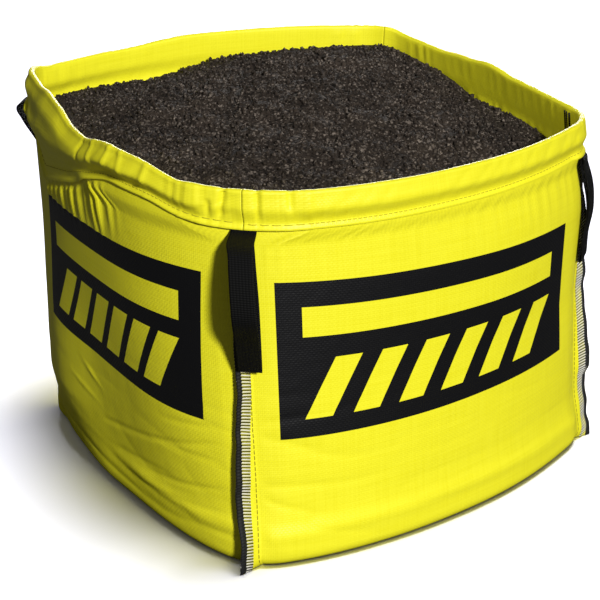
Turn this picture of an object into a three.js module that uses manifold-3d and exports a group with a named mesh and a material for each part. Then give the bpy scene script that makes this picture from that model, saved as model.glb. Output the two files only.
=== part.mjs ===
// A filled bulk bag of topsoil: an open sack of woven polypropylene with sewn corner seams,
// a folded top hem, a webbing lifting loop at each corner, printed fields on two faces and
// a mound of soil inside.
//
// Millimetres, +Z up. The bag stands on z = 0 and its front face looks along -Y. Going round
// from the front left corner, side 0 is the front, 1 the right, 2 the back and 3 the left.

import * as THREE from "three";
import { mergeVertices } from "three/addons/utils/BufferGeometryUtils.js";
import Module from "manifold-3d";

const wasm = await Module();
wasm.setup();

// The filled bag
const CORNER_SPAN = 790;
const RIM_HEIGHT = 730;
const BOTTOM_RADIUS = 26;

// How the full bag has slumped at each corner: its shift from a true square at the rim and at the
// floor, the radius of its rim, how far the soil lies below it and how many degrees its seam is
// turned towards the next side. Its loop swings along the bag, and the loop's outer leg bows
// furthest out at the knee, a share of the way down.
const CORNERS = [
  {
    name: "front_left", sign: [-1, -1], rimShift: [5, 10, 8], baseShift: [-4, -34],
    rimRound: 110, soilDrop: 50, seamTurn: -50, loop: { swing: -2, bow: 14, knee: 0.3 },
  },
  {
    name: "front_right", sign: [1, -1], rimShift: [-21, 15, -8], baseShift: [24, 42],
    rimRound: 50, soilDrop: 105, seamTurn: 55, loop: { swing: 0, bow: 10, knee: 0.4 },
  },
  {
    name: "back_right", sign: [1, 1], rimShift: [27, -35, -25], baseShift: [8, 8],
    rimRound: 50, soilDrop: 42, seamTurn: 45, loop: { swing: 0, bow: 16, knee: 0.3 },
  },
  {
    name: "back_left", sign: [-1, 1], rimShift: [-6, 31, 22], baseShift: [-28, -19],
    rimRound: 42, soilDrop: 85, seamTurn: -50, loop: { swing: -90, bow: 26, knee: 0.05 },
  },
];
// How far each side swells past the line between its corners, low down, half way up and at the rim.
// How square that swelling is and how much it leans towards the side's end, at the floor and the rim.
// The margins are the widths beside a printed field at the side's start and end.
const SIDES = [
  { normal: [0, -1], bulge: [82, 96, 92], power: [2.2, 2.2], skew: [0, 0], margins: [54, 70] },
  { normal: [1, 0], bulge: [40, 50, 16], power: [2.2, 2.2], skew: [0, 0], margins: [70, 70] },
  { normal: [0, 1], bulge: [60, 92, 93], power: [2.2, 2.2], skew: [0, 0], margins: [70, 70] },
  { normal: [-1, 0], bulge: [58, 88, 92], power: [4, 2], skew: [0.1, 0.5], margins: [75, 95] },
];

// Cloth, seams and hem
const CLOTH = 0.8;
const CLEARANCE = 0.3;
const SEAM_ALLOWANCE = 32;
const SEAM_RECESS = 10;
const SEAM_ROUND = 50;
const SEAM_SLOPE = 34;
const SEAM_EASE = 105;
const HEM_DEPTH = 72;
const HEM_FOLD = 12;
const HEM_PUFF = 15;
const HEM_STITCH_INSET = 11;
const HEM_FLARE = 1.5;

// Overlock thread round the edge of each corner seam
const THREAD = 1.2;
const OVERLOCK_REACH = 12;
const OVERLOCK_BITE = 4;
const OVERLOCK_PITCH = 24;
const OVERLOCK_HALF = CLOTH + 1.5 * CLEARANCE + THREAD;

// Lifting loops
const WEBBING = 2;
const WEBBING_WIDTH = 52;
const WEBBING_FOLDS = [0.5, 0.9];
const LOOP_TUCK = 50;
const LOOP_CLEAR = 20;
const LOOP_DROP = 255;
const LOOP_BIGHT = 4;
const LOOP_SPRING = 0.6;
const LOOP_TURN = [180, 135, 90, 45, 0].map(THREE.MathUtils.degToRad);

// Soil
const SOIL_GAP = 4;
const SOIL_CROWN = 60;
const SOIL_CELLS = 16;
const SOIL_RINGS = 9;
// The waves that cross in the uneven top of tipped soil: their height, their length and their direction
const SOIL_WAVES = [
  { height: 4, length: 340, turn: 45 },
  { height: 3, length: 97, turn: 20 },
  { height: 3, length: 118, turn: 83 },
  { height: 3, length: 104, turn: 141 },
];

// Printed fields on the front and the left face
const PRINT_LOW = 245;
const PRINT_HIGH = 550;
const INK = 0.3;
const BAR_HEIGHT = 58;
const BAR_MARGIN = 48;
const STRIPE_COUNT = 6;
const STRIPE_WIDTH = 52;
const STRIPE_HEIGHT = 118;
const STRIPE_SLANT = 60;
const STRIPE_FROM_FOOT = 36;

const YELLOW = "#f2e81c";
const BLACK = "#17171a";

const up = new THREE.Vector3(0, 0, 1);

// Where the bag's own heights lie, as shares of the way from the bottom edge to the rim
const wallHeight = RIM_HEIGHT - BOTTOM_RADIUS;
const atDrop = (drop) => 1 - drop / wallHeight;
const atHeight = (z) => (z - BOTTOM_RADIUS) / wallHeight;
const hemEdge = atDrop(HEM_DEPTH);
const seamTop = atDrop(HEM_DEPTH + SEAM_SLOPE);

const mix = THREE.MathUtils.lerp;
const smooth = THREE.MathUtils.smoothstep;

// A corner of the bag at height share v, pulled in along its diagonal where the seam runs
function cornerAt(index, v) {
  const { sign, rimShift, baseShift } = CORNERS[index];
  const half = CORNER_SPAN / 2;
  const recess = SEAM_RECESS * (1 - smooth(v, seamTop, hemEdge)) * smooth(v, 0, SEAM_EASE / wallHeight);
  const place = (axis) =>
    sign[axis] * (half - recess * Math.SQRT1_2) + mix(baseShift[axis], rimShift[axis], v);
  return new THREE.Vector3(place(0), place(1), BOTTOM_RADIUS + v * (wallHeight + rimShift[2]));
}

// A corner's diagonal: the way straight out, and the way along towards the side that starts there
function diagonal(corner) {
  const [x, y] = CORNERS[corner].sign;
  const out = new THREE.Vector3(x, y, 0).normalize();
  return { out, along: new THREE.Vector3(-out.y, out.x, 0) };
}

function bulgeAt(side, v) {
  const [low, middle, rim] = SIDES[side].bulge;
  return low * (1 - v) * (1 - 2 * v) + middle * 4 * v * (1 - v) + rim * v * (2 * v - 1);
}

// A point on a side at s = -1 to 1 along it, before its corners are rounded
function sidePoint(side, s, v) {
  const { normal, power, skew } = SIDES[side];
  const swell = bulgeAt(side, v) * (1 - Math.abs(s) ** mix(...power, v)) * (1 + mix(...skew, v) * s);
  const p = cornerAt(side, v).lerp(cornerAt((side + 1) % 4, v), (s + 1) / 2);
  p.x += normal[0] * swell;
  p.y += normal[1] * swell;
  return p;
}

// How much of a side's half length its rounded corner takes at height share v
function roundShare(side, corner, v) {
  const length = cornerAt(side, v).distanceTo(cornerAt((side + 1) % 4, v));
  const round = mix(SEAM_ROUND, CORNERS[corner].rimRound, smooth(v, seamTop, hemEdge));
  return (2 * round) / length;
}

// A corner's curve: t = 0 on the side that starts there, 1 on the side that ends there
function cornerCurve(corner, t, v) {
  const before = (corner + 3) % 4;
  const start = sidePoint(corner, -1 + roundShare(corner, corner, v), v);
  const end = sidePoint(before, 1 - roundShare(before, corner, v), v);
  const tip = cornerAt(corner, v);
  return start
    .multiplyScalar((1 - t) ** 2)
    .addScaledVector(tip, 2 * t * (1 - t))
    .addScaledVector(end, t * t);
}

// The stations across a panel: a group of t values at each corner and shares of the print between
const CORNER_STATIONS = [0.5, 0.42, 0.25, 0];
const PRINT_CELLS = 8;
const stations = [
  ...CORNER_STATIONS.map((t) => ({ t, atStart: true })),
  ...Array.from({ length: PRINT_CELLS + 1 }, (_, i) => ({ share: i / PRINT_CELLS })),
  ...CORNER_STATIONS.map((t) => ({ t: 1 - t, atStart: false })).reverse(),
];
const COLUMNS = stations.length;
const firstShare = CORNER_STATIONS.length;

// The bag's middle surface and its outward direction at a station, with z from height share v
function ring(side, station, v) {
  const step = 0.01;
  const { t, share, atStart } = station;
  const corner = atStart ? side : (side + 1) % 4;
  if (t === 0.5) return { p: cornerCurve(corner, t, v), ...diagonal(corner) };
  let at;
  if (share === undefined) {
    at = (shift) => cornerCurve(corner, t - shift, v);
  } else {
    const toShare = (margin) => (2 * (margin - SEAM_ROUND)) / CORNER_SPAN;
    const [before, after] = SIDES[side].margins.map(toShare);
    const from = -1 + roundShare(side, side, v) + before;
    const to = 1 - roundShare(side, (side + 1) % 4, v) - after;
    at = (shift) => sidePoint(side, mix(from, to, share + shift), v);
  }
  const along = at(step).sub(at(-step)).setZ(0).normalize();
  const out = new THREE.Vector3(along.y, -along.x, 0);
  return { p: at(0), out, along };
}

// The same with the bottom edge rolled under: angle runs from pi/2 at the wall to 0 on the floor
function rolled(side, station, angle) {
  const place = ring(side, station, 0);
  place.p.addScaledVector(place.out, -BOTTOM_RADIUS * (1 - Math.sin(angle)));
  place.p.z = CLOTH / 2 + (BOTTOM_RADIUS - CLOTH / 2) * (1 - Math.cos(angle));
  return place;
}

// A station's place on a row, on the wall or on the rolled edge below it
function rowPlace(side, station, row) {
  return row.angle === undefined ? ring(side, station, row.v) : rolled(side, station, row.angle);
}

// A corner seam on a row: its root, the way out to its raw edge and the way across it
function seamFrame(corner, row) {
  const { p, out, along } = rowPlace(corner, { t: 0.5, atStart: true }, row);
  const turn = THREE.MathUtils.degToRad(row.seam ? CORNERS[corner].seamTurn : 0);
  return { p, out: out.applyAxisAngle(up, turn), along: along.applyAxisAngle(up, turn) };
}

// Where a row of the panel stands at a station. Rows with a seam turn their ends outwards beside
// the next panel's; the others end at the corner's diagonal.
function panelPoint(side, column, row) {
  const station = stations[column];
  const fromEnd = Math.min(column, COLUMNS - 1 - column);
  if (fromEnd > 1 || (fromEnd === 1 && !row.seam)) return rowPlace(side, station, row);
  const tip = seamFrame(station.atStart ? side : (side + 1) % 4, row);
  const inwards = station.atStart ? 1 : -1;
  const aside = row.seam ? (CLOTH + CLEARANCE) / 2 : CLEARANCE;
  tip.p.addScaledVector(tip.along, inwards * aside);
  if (row.seam) tip.p.addScaledVector(tip.out, fromEnd === 0 ? SEAM_ALLOWANCE : CLOTH);
  return tip;
}

// How far the hem's outer layer stands off the wall, wider where the webbing passes under it
function hemStand(column, drop) {
  const loopRoom = 2 * (WEBBING + CLEARANCE) + 3 * CLEARANCE + CLOTH;
  const fromEnd = Math.min(column, COLUMNS - 1 - column);
  const pinched = fromEnd < firstShare ? loopRoom : CLOTH + CLEARANCE;
  if (drop >= HEM_DEPTH) return pinched + HEM_FLARE;
  if (drop >= HEM_DEPTH - HEM_STITCH_INSET) return pinched;
  return drop > HEM_FOLD / 2 ? HEM_PUFF : HEM_FOLD;
}

// The rows of one wall, from the hem's sewn edge over the rim and down to the floor
const HEM_ROWS = [HEM_DEPTH, HEM_DEPTH - HEM_STITCH_INSET, HEM_DEPTH / 2, HEM_FOLD / 2];
const FOLD_ANGLES = [135, 90, 45].map(THREE.MathUtils.degToRad);
const ROLL_ANGLES = [60, 30, 0].map(THREE.MathUtils.degToRad);
const printRows = [0, 1, 2, 3].map((i) => mix(PRINT_HIGH, PRINT_LOW, i / 3));
const wallRows = [
  ...HEM_ROWS.map((drop) => ({ v: atDrop(drop), hem: drop })),
  ...FOLD_ANGLES.map((fold) => ({ v: atDrop(HEM_FOLD / 2), fold })),
  ...[HEM_FOLD / 2, HEM_DEPTH - HEM_STITCH_INSET].map((drop) => ({ v: atDrop(drop) })),
  { v: hemEdge },
  { v: seamTop, seam: true },
  ...printRows.map((z) => ({ v: atHeight(z), seam: true })),
  { v: atHeight((PRINT_LOW + BOTTOM_RADIUS) / 2), seam: true },
  { v: 0, seam: true },
  ...ROLL_ANGLES.map((angle) => ({ angle })),
];
const firstPrintRow = wallRows.findIndex((row) => row.v === atHeight(printRows[0]));

function wallRow(side, row) {
  return stations.map((_, column) => {
    const { p, out } = panelPoint(side, column, row);
    if (row.hem !== undefined) p.addScaledVector(out, hemStand(column, row.hem));
    if (row.fold !== undefined) {
      const radius = HEM_FOLD / 2;
      p.addScaledVector(out, radius * (1 - Math.cos(row.fold)));
      p.addScaledVector(up, radius * Math.sin(row.fold));
    }
    return p;
  });
}

const wallGrid = (side) => wallRows.map((row) => wallRow(side, row));

// The rows of the floor panel, between the two side panels' lower edges
function floorRows(front) {
  const left = front[0].x;
  const width = front[COLUMNS - 1].x - left;
  const shares = front.map((p) => (p.x - left) / width);
  return stations.slice(firstShare, COLUMNS - firstShare).map((station) => {
    const opposite = { share: 1 - station.share };
    const from = rolled(3, opposite, 0).p;
    const to = rolled(1, station, 0).p;
    from.x += CLOTH + CLEARANCE;
    to.x -= CLOTH + CLEARANCE;
    return shares.map((share) => from.clone().lerp(to, share));
  });
}

// Averaged normals of a grid of points
function gridNormals(grid) {
  const normals = grid.map((row) => row.map(() => new THREE.Vector3()));
  for (let r = 0; r + 1 < grid.length; r++) {
    for (let c = 0; c + 1 < grid[r].length; c++) {
      const falling = grid[r + 1][c + 1].clone().sub(grid[r][c]);
      const rising = grid[r][c + 1].clone().sub(grid[r + 1][c]);
      const face = falling.cross(rising).normalize();
      for (const [i, j] of [[r, c], [r, c + 1], [r + 1, c], [r + 1, c + 1]]) normals[i][j].add(face);
    }
  }
  normals.forEach((row) => row.forEach((n) => n.normalize()));
  return normals;
}

// The normals of a wall: straight down on the floor, and kept in the corners' diagonal planes
// where a row ends at them
function wallNormals(grid, rows, startCorner, endCorner, normals = gridNormals(grid)) {
  rows.forEach((row, r) => {
    if (row.seam) return;
    if (row.angle === 0) normals[r].forEach((n) => n.copy(up).negate());
    normals[r][0].projectOnPlane(diagonal(startCorner).along).normalize();
    normals[r][COLUMNS - 1].projectOnPlane(diagonal(endCorner).along).normalize();
  });
  return normals;
}

function solidGeometry(points, triangles) {
  const geometry = new THREE.BufferGeometry();
  const places = points.flatMap((p) => p.toArray());
  geometry.setAttribute("position", new THREE.Float32BufferAttribute(places, 3));
  geometry.setIndex(triangles.flat());
  geometry.computeVertexNormals();
  return geometry;
}

// A sheet between two distances from a grid of points, closed round its edge
function sheetSolid(grid, low, high, normals = gridNormals(grid)) {
  const rows = grid.length;
  const columns = grid[0].length;
  const count = rows * columns;
  const layer = (away) =>
    grid.flatMap((row, r) => row.map((p, c) => p.clone().addScaledVector(normals[r][c], away)));
  const triangles = [];
  for (let r = 0; r + 1 < rows; r++) {
    for (let c = 0; c + 1 < columns; c++) {
      const a = r * columns + c;
      const b = a + 1;
      const d = a + columns;
      const e = d + 1;
      triangles.push([a, d, b], [b, d, e]);
      triangles.push([count + a, count + b, count + d], [count + b, count + e, count + d]);
    }
  }
  const edge = [];
  for (let c = 0; c < columns - 1; c++) edge.push(c);
  for (let r = 0; r < rows - 1; r++) edge.push(r * columns + columns - 1);
  for (let c = columns - 1; c > 0; c--) edge.push((rows - 1) * columns + c);
  for (let r = rows - 1; r > 0; r--) edge.push(r * columns);
  edge.forEach((a, i) => {
    const b = edge[(i + 1) % edge.length];
    triangles.push([a, b, count + a], [b, count + b, count + a]);
  });
  return solidGeometry([...layer(high), ...layer(low)], triangles);
}

function sidePanel(side) {
  const grid = wallGrid(side);
  return sheetSolid(grid, -CLOTH / 2, CLOTH / 2, wallNormals(grid, wallRows, side, (side + 1) % 4));
}

// The front wall, the floor and the back wall are one length of cloth
function longPanel() {
  const front = wallGrid(0);
  const back = wallGrid(2).map((row) => row.reverse()).reverse();
  const floor = floorRows(front.at(-1));
  const grid = [...front, ...floor, ...back];
  const normals = gridNormals(grid);
  wallNormals(front, wallRows, 0, 1, normals);
  wallNormals(back, wallRows.toReversed(), 3, 2, normals.slice(front.length + floor.length));
  return sheetSolid(grid, -CLOTH / 2, CLOTH / 2, normals);
}

// Overlock thread: a channel over the seam's raw edge whose legs are long and short by turns
function overlock(corner) {
  const seamRows = wallRows.filter((row) => row.seam);
  const frames = seamRows.map((row) => seamFrame(corner, row));
  const sections = [];
  const inner = OVERLOCK_HALF - THREAD;
  const outer = OVERLOCK_HALF;
  const tip = SEAM_ALLOWANCE + CLEARANCE;
  frames.slice(1).forEach((below, i) => {
    const above = frames[i];
    const steps = Math.max(1, Math.round(above.p.distanceTo(below.p) / OVERLOCK_PITCH));
    for (let k = i === 0 ? 0 : 1; k <= steps; k++) {
      const root = above.p.clone().lerp(below.p, k / steps);
      const out = above.out.clone().lerp(below.out, k / steps);
      const along = above.along.clone().lerp(below.along, k / steps);
      const reach = OVERLOCK_REACH - (sections.length % 2) * OVERLOCK_BITE;
      const foot = SEAM_ALLOWANCE - reach;
      const outline = [
        [foot, -outer], [tip + THREAD, -outer], [tip + THREAD, outer], [foot, outer],
        [foot, inner], [tip, inner], [tip, -inner], [foot, -inner],
      ];
      const at = ([d, e]) => root.clone().addScaledVector(out, d).addScaledVector(along, e);
      sections.push(outline.map(at));
    }
  });
  return channelSolid(sections);
}

// A solid through a row of channel outlines, capped at both ends
function channelSolid(sections) {
  const count = sections[0].length;
  const last = (sections.length - 1) * count;
  const triangles = [];
  for (let start = 0; start < last; start += count) {
    for (let i = 0; i < count; i++) {
      const a = start + i;
      const b = start + ((i + 1) % count);
      triangles.push([a, a + count, b], [b, a + count, b + count]);
    }
  }
  for (const [a, b, c] of [[0, 1, 7], [1, 6, 7], [1, 2, 6], [2, 5, 6], [2, 3, 5], [3, 4, 5]]) {
    triangles.push([a, b, c], [last + a, last + c, last + b]);
  }
  return solidGeometry(sections.flat(), triangles);
}

// The corner's own facets at height share v: a place on them at w along the ring from the diagonal
function cornerFacets(corner, v) {
  const around = [...CORNER_STATIONS.map((t) => 1 - t).reverse(), ...CORNER_STATIONS.slice(1)];
  const places = around.map((t) => ring(corner, { t, atStart: true }, v));
  const middle = CORNER_STATIONS.length - 1;
  let length = 0;
  const reach = places.map(({ p }, i) => (length += i ? p.distanceTo(places[i - 1].p) : 0));
  const marks = reach.map((x) => x - reach[middle]);
  const at = (w) => {
    const i = Math.max(1, marks.findIndex((mark) => mark >= w));
    const share = (w - marks[i - 1]) / (marks[i] - marks[i - 1]);
    const p = places[i - 1].p.clone().lerp(places[i].p, share);
    return { p, out: places[i - 1].out.clone().lerp(places[i].out, share) };
  };
  return { at, marks: marks.slice(middle + 1, -1) };
}

// A lifting loop: webbing that comes out from under the hem, hangs down and turns back up to it
function liftingLoop(corner) {
  const innerLeg = CLOTH / 2 + 3 * CLEARANCE + WEBBING / 2;
  const outerLeg = innerLeg + WEBBING + CLEARANCE;
  const turn = THREE.MathUtils.degToRad(Math.abs(CORNERS[corner].seamTurn));
  const seamEdge = SEAM_ALLOWANCE + CLEARANCE + THREAD;
  const seamReach = seamEdge * Math.cos(turn) + OVERLOCK_HALF * Math.sin(turn);
  const hang = seamReach + 3 * CLEARANCE + WEBBING / 2;
  const foot = HEM_DEPTH + LOOP_DROP;
  const hidden = HEM_DEPTH - LOOP_TUCK;
  const clear = HEM_DEPTH + LOOP_CLEAR;
  const { swing, bow, knee } = CORNERS[corner].loop;
  const bight = LOOP_TURN.map((angle) => ({
    drop: foot + LOOP_BIGHT * (Math.sin(angle) - 1),
    away: hang + LOOP_BIGHT * (1 + Math.cos(angle)),
  }));
  const route = [
    { drop: hidden, away: innerLeg },
    { drop: HEM_DEPTH, away: innerLeg },
    { drop: clear, away: hang },
    { drop: (clear + foot) / 2, away: hang },
    ...bight,
    { drop: mix(clear, foot, (1 + knee) / 2), away: hang + Math.max(2 * LOOP_BIGHT, bow / 2) },
    { drop: mix(clear, foot, knee), away: hang + bow },
    { drop: clear, away: hang + LOOP_SPRING * bow },
    { drop: HEM_DEPTH, away: outerLeg },
    { drop: hidden, away: outerLeg },
  ];
  const half = WEBBING_WIDTH / 2;
  const grid = route.map(({ drop, away }) => {
    const v = atDrop(drop);
    const bent = drop <= HEM_DEPTH;
    const facets = cornerFacets(corner, v);
    const marks = facets.marks.map((mark, i) => Math.min(mark, half * WEBBING_FOLDS[i]));
    const across = [0, ...marks, half];
    return [...across.slice(1).map((w) => -w).reverse(), ...across].map((w) => {
      if (bent) {
        const place = facets.at(w);
        return place.p.addScaledVector(place.out, away);
      }
      const { p, out, along } = ring(corner, { t: 0.5, atStart: true }, v);
      const aside = w + swing * smooth(drop, HEM_DEPTH, foot);
      return p.addScaledVector(out, away).addScaledVector(along, aside);
    });
  });
  return sheetSolid(grid, -WEBBING / 2, WEBBING / 2);
}

// How far a lump of the tipped soil stands above or below the even heap
function lump({ x, y }) {
  const wave = ({ height, length, turn }) => {
    const angle = THREE.MathUtils.degToRad(turn);
    return height * Math.cos((2 * Math.PI * (x * Math.cos(angle) + y * Math.sin(angle))) / length);
  };
  return SOIL_WAVES.reduce((sum, each) => sum + wave(each), 0);
}

// The soil fills the bag up to a level below the rim on each side and is heaped in the middle
function topsoil() {
  const cells = Array.from({ length: SOIL_CELLS + 1 }, (_, i) => ({ share: i / SOIL_CELLS }));
  const sideStations = [stations[0], ...cells];
  const around = SIDES.flatMap((_, side) => sideStations.map((station) => ({ side, station })));
  const fillShare = ({ side, station }) =>
    atDrop(mix(CORNERS[side].soilDrop, CORNERS[(side + 1) % 4].soilDrop, station.share ?? 0));
  const inset = ({ p, out }) => p.addScaledVector(out, -SOIL_GAP);
  const ringOn = (row) => around.map(({ side, station }) => inset(rowPlace(side, station, row)));
  const levels = wallRows.slice(wallRows.findIndex((row) => row.seam)).reverse().map(ringOn);
  levels[0].forEach((p) => p.setZ(CLOTH + CLEARANCE));
  const rim = around.map((where) => inset(ring(where.side, where.station, fillShare(where))));
  const middle = rim.reduce((sum, p) => sum.add(p), new THREE.Vector3()).divideScalar(rim.length);
  const heapedAt = (edge, share) => {
    const p = middle.clone().lerp(edge, share);
    p.z += SOIL_CROWN * (1 - share ** 2) + lump(p);
    return p;
  };
  const heaped = Array.from({ length: SOIL_RINGS }, (_, i) => 1 - (i + 1) / (SOIL_RINGS + 1))
    .map((share) => rim.map((edge) => heapedAt(edge, share)));
  const rings = [...levels, rim, ...heaped];
  const count = around.length;
  const top = heapedAt(middle, 0);
  const bottom = new THREE.Vector3(middle.x, middle.y, CLOTH + CLEARANCE);
  const points = [...rings.flat(), top, bottom];
  const triangles = [];
  for (let i = 0; i < count; i++) {
    const j = (i + 1) % count;
    for (let r = 0; r + 1 < rings.length; r++) {
      triangles.push([r * count + i, r * count + j, (r + 1) * count + i]);
      triangles.push([r * count + j, (r + 1) * count + j, (r + 1) * count + i]);
    }
    const last = (rings.length - 1) * count;
    triangles.push([last + i, last + j, points.length - 2]);
    triangles.push([j, i, points.length - 1]);
  }
  return solidGeometry(points, triangles);
}

// Geometry to a solid that can be cut, and back
function toSolid(geometry) {
  const bare = geometry.clone();
  bare.deleteAttribute("normal");
  bare.deleteAttribute("uv");
  const merged = mergeVertices(bare);
  return new wasm.Manifold(
    new wasm.Mesh({
      numProp: 3,
      vertProperties: merged.attributes.position.array,
      triVerts: new Uint32Array(merged.index.array),
    }),
  );
}

function fromSolid(solid) {
  const { vertProperties, triVerts } = solid.getMesh();
  const geometry = new THREE.BufferGeometry();
  geometry.setAttribute("position", new THREE.BufferAttribute(new Float32Array(vertProperties), 3));
  geometry.setIndex(new THREE.BufferAttribute(triVerts, 1));
  geometry.computeVertexNormals();
  return geometry;
}

// The printed field's bare shapes, drawn flat: a long bar over a row of slanted stripes
function bareShapes(width, height) {
  const bar = new THREE.Shape();
  const barTop = height / 2 - BAR_MARGIN;
  const barSide = width / 2 - BAR_MARGIN;
  bar.moveTo(-barSide, barTop - BAR_HEIGHT);
  bar.lineTo(barSide, barTop - BAR_HEIGHT);
  bar.lineTo(barSide, barTop);
  bar.lineTo(-barSide, barTop);
  const foot = STRIPE_FROM_FOOT - height / 2;
  const reach = 2 * barSide - STRIPE_WIDTH - STRIPE_SLANT;
  const stripes = Array.from({ length: STRIPE_COUNT }, (_, i) => {
    const x = -barSide + (reach * i) / (STRIPE_COUNT - 1);
    const stripe = new THREE.Shape();
    stripe.moveTo(x, foot);
    stripe.lineTo(x + STRIPE_WIDTH, foot);
    stripe.lineTo(x + STRIPE_WIDTH + STRIPE_SLANT, foot + STRIPE_HEIGHT);
    stripe.lineTo(x + STRIPE_SLANT, foot + STRIPE_HEIGHT);
    return stripe;
  });
  return [bar, ...stripes];
}

// Ink that lies on a wall: a patch of the wall's own grid with the bare shapes cut out of it
function printedField(side, turn) {
  const grid = wallGrid(side);
  const normals = gridNormals(grid);
  const patch = (rows) =>
    rows.slice(firstPrintRow, firstPrintRow + printRows.length)
      .map((row) => row.slice(firstShare, COLUMNS - firstShare));
  const low = CLOTH / 2 + CLEARANCE;
  let field = toSolid(sheetSolid(patch(grid), low, low + INK, patch(normals)));
  const depth = CORNER_SPAN / 2;
  const [before, after] = SIDES[side].margins;
  const middle = new THREE.Vector3((before - after) / 2, -depth / 2, (PRINT_HIGH + PRINT_LOW) / 2);
  for (const shape of bareShapes(CORNER_SPAN - before - after, PRINT_HIGH - PRINT_LOW)) {
    const cutter = new THREE.ExtrudeGeometry(shape, { depth, bevelEnabled: false });
    cutter.rotateX(Math.PI / 2).translate(...middle.toArray()).rotateZ(turn);
    field = field.subtract(toSolid(cutter));
  }
  return fromSolid(field);
}

function piece(name, geometry, color, roughness) {
  const material = new THREE.MeshStandardMaterial({ color, roughness, metalness: 0 });
  const mesh = new THREE.Mesh(geometry, material);
  mesh.name = name;
  return mesh;
}

const bag = new THREE.Group();
bag.name = "bulk_bag";
bag.add(
  piece("long_panel", longPanel(), YELLOW, 0.45),
  piece("side_panel_right", sidePanel(1), YELLOW, 0.45),
  piece("side_panel_left", sidePanel(3), YELLOW, 0.45),
  piece("topsoil", topsoil(), "#2a2624", 0.95),
  piece("printed_field_front", printedField(0, 0), BLACK, 0.5),
  piece("printed_field_left", printedField(3, -Math.PI / 2), BLACK, 0.5),
);
CORNERS.forEach(({ name }, corner) => {
  bag.add(
    piece(`lifting_loop_${name}`, liftingLoop(corner), BLACK, 0.7),
    piece(`overlock_${name}`, overlock(corner), BLACK, 0.8),
  );
});

export default bag;
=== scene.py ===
"""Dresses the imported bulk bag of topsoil: woven cloth, sewn seams, webbing loops and heaped soil.

Metres, +Z up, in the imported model's frame. The bag stands on z = 0 and its front looks along -Y.
Going round from the front left corner, side 0 is the front, 1 the right, 2 the back, 3 the left.
"""

import logging
import math
from dataclasses import dataclass
from enum import Enum, IntEnum

import bpy
import numpy as np
from mathutils import Matrix, Vector


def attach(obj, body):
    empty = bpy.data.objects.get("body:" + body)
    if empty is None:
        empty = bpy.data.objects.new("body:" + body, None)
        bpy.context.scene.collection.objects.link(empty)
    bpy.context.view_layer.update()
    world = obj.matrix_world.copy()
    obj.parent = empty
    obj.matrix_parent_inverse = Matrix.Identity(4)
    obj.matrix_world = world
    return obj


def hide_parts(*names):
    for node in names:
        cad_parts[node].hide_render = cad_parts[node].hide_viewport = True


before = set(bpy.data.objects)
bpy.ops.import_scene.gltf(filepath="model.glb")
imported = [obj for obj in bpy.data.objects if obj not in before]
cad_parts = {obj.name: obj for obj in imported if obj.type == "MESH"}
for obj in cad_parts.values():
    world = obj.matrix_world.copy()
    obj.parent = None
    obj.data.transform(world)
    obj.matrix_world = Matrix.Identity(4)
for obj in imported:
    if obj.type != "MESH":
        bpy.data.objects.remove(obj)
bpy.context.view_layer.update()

BODY = "root"
UP = np.array([0.0, 0.0, 1.0])
TINY = 1e-6
Array = np.ndarray
Measure = float | Array
Rows = dict[str, Array]
Pair = tuple[float, float]
Triple = tuple[float, float, float]
SeamRows = tuple[Array, Array, Array, Array]
Piece = bpy.types.Object
Material = bpy.types.Material
Tree = bpy.types.NodeTree
Socket = bpy.types.NodeSocket

logging.basicConfig(level=logging.INFO, format="%(name)s: %(message)s")
log = logging.getLogger("bulk_bag")


class Side(IntEnum):
    """A wall of the bag, in order round it. The corner of the same number starts it."""

    FRONT = 0
    RIGHT = 1
    BACK = 2
    LEFT = 3


class Zone(Enum):
    """The part of a wall that a station lies in."""

    START = "start corner"
    MIDDLE = "between the corners"
    END = "end corner"


class Layer(IntEnum):
    """The part of a wall's cloth that a row lies in, from its sewn hem edge to the floor."""

    HEM = 0
    RIM = 1
    WALL = 2
    FOOT = 3


class Lit(Enum):
    """What a lamp lights: all but the floor, the floor alone, or the right panel alone."""

    BAG = ("EXCLUDE", "studio_floor")
    FLOOR = ("INCLUDE", "studio_floor")
    INSIDE = ("INCLUDE", "panel_right")


class Slot(Enum):
    """The material slots, by name."""

    CLOTH = "yellow_cloth"
    WEBBING = "black_webbing"
    THREAD = "overlock_thread"
    SOIL = "soil"


def mix(low: Measure, high: Measure, share: Measure) -> Measure:
    """Returns the value at a share of the way from low to high."""
    return low + (high - low) * share


def smooth(value: Measure, low: float, high: float) -> Array:
    """Returns an eased step from 0 at low to 1 at high."""
    share = np.clip((np.asarray(value, float) - low) / (high - low), 0.0, 1.0)
    return share * share * (3.0 - 2.0 * share)


def unit(vectors: Array) -> Array:
    """Returns the vectors at length 1."""
    return vectors / np.maximum(np.linalg.norm(vectors, axis=-1, keepdims=True), 1e-12)


def turned(vectors: Array, degrees: Measure) -> Array:
    """Turns level vectors about Z.

    Args:
        vectors: Vectors whose last axis is x, y, z.
        degrees: How far each is turned, anticlockwise seen from above.

    Returns:
        The turned vectors.
    """
    angle = np.radians(degrees)
    x, y, z = (vectors[..., axis] for axis in range(3))
    return np.stack(
        [x * np.cos(angle) - y * np.sin(angle), x * np.sin(angle) + y * np.cos(angle), z], axis=-1
    )


def level_left(ways: Array) -> Array:
    """Returns level vectors turned a quarter anticlockwise, seen from above."""
    return np.stack([-ways[..., 1], ways[..., 0], np.zeros(ways.shape[:-1])], axis=-1)


def run_of(steps: Array) -> Array:
    """Returns how far the steps have come after each, from 0."""
    return np.concatenate([[0.0], np.cumsum(steps)])


def run_along(line: Array) -> Array:
    """Returns the distance along a line of points, from 0 at its first point."""
    return run_of(np.linalg.norm(np.diff(line, axis=0), axis=-1))


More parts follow.
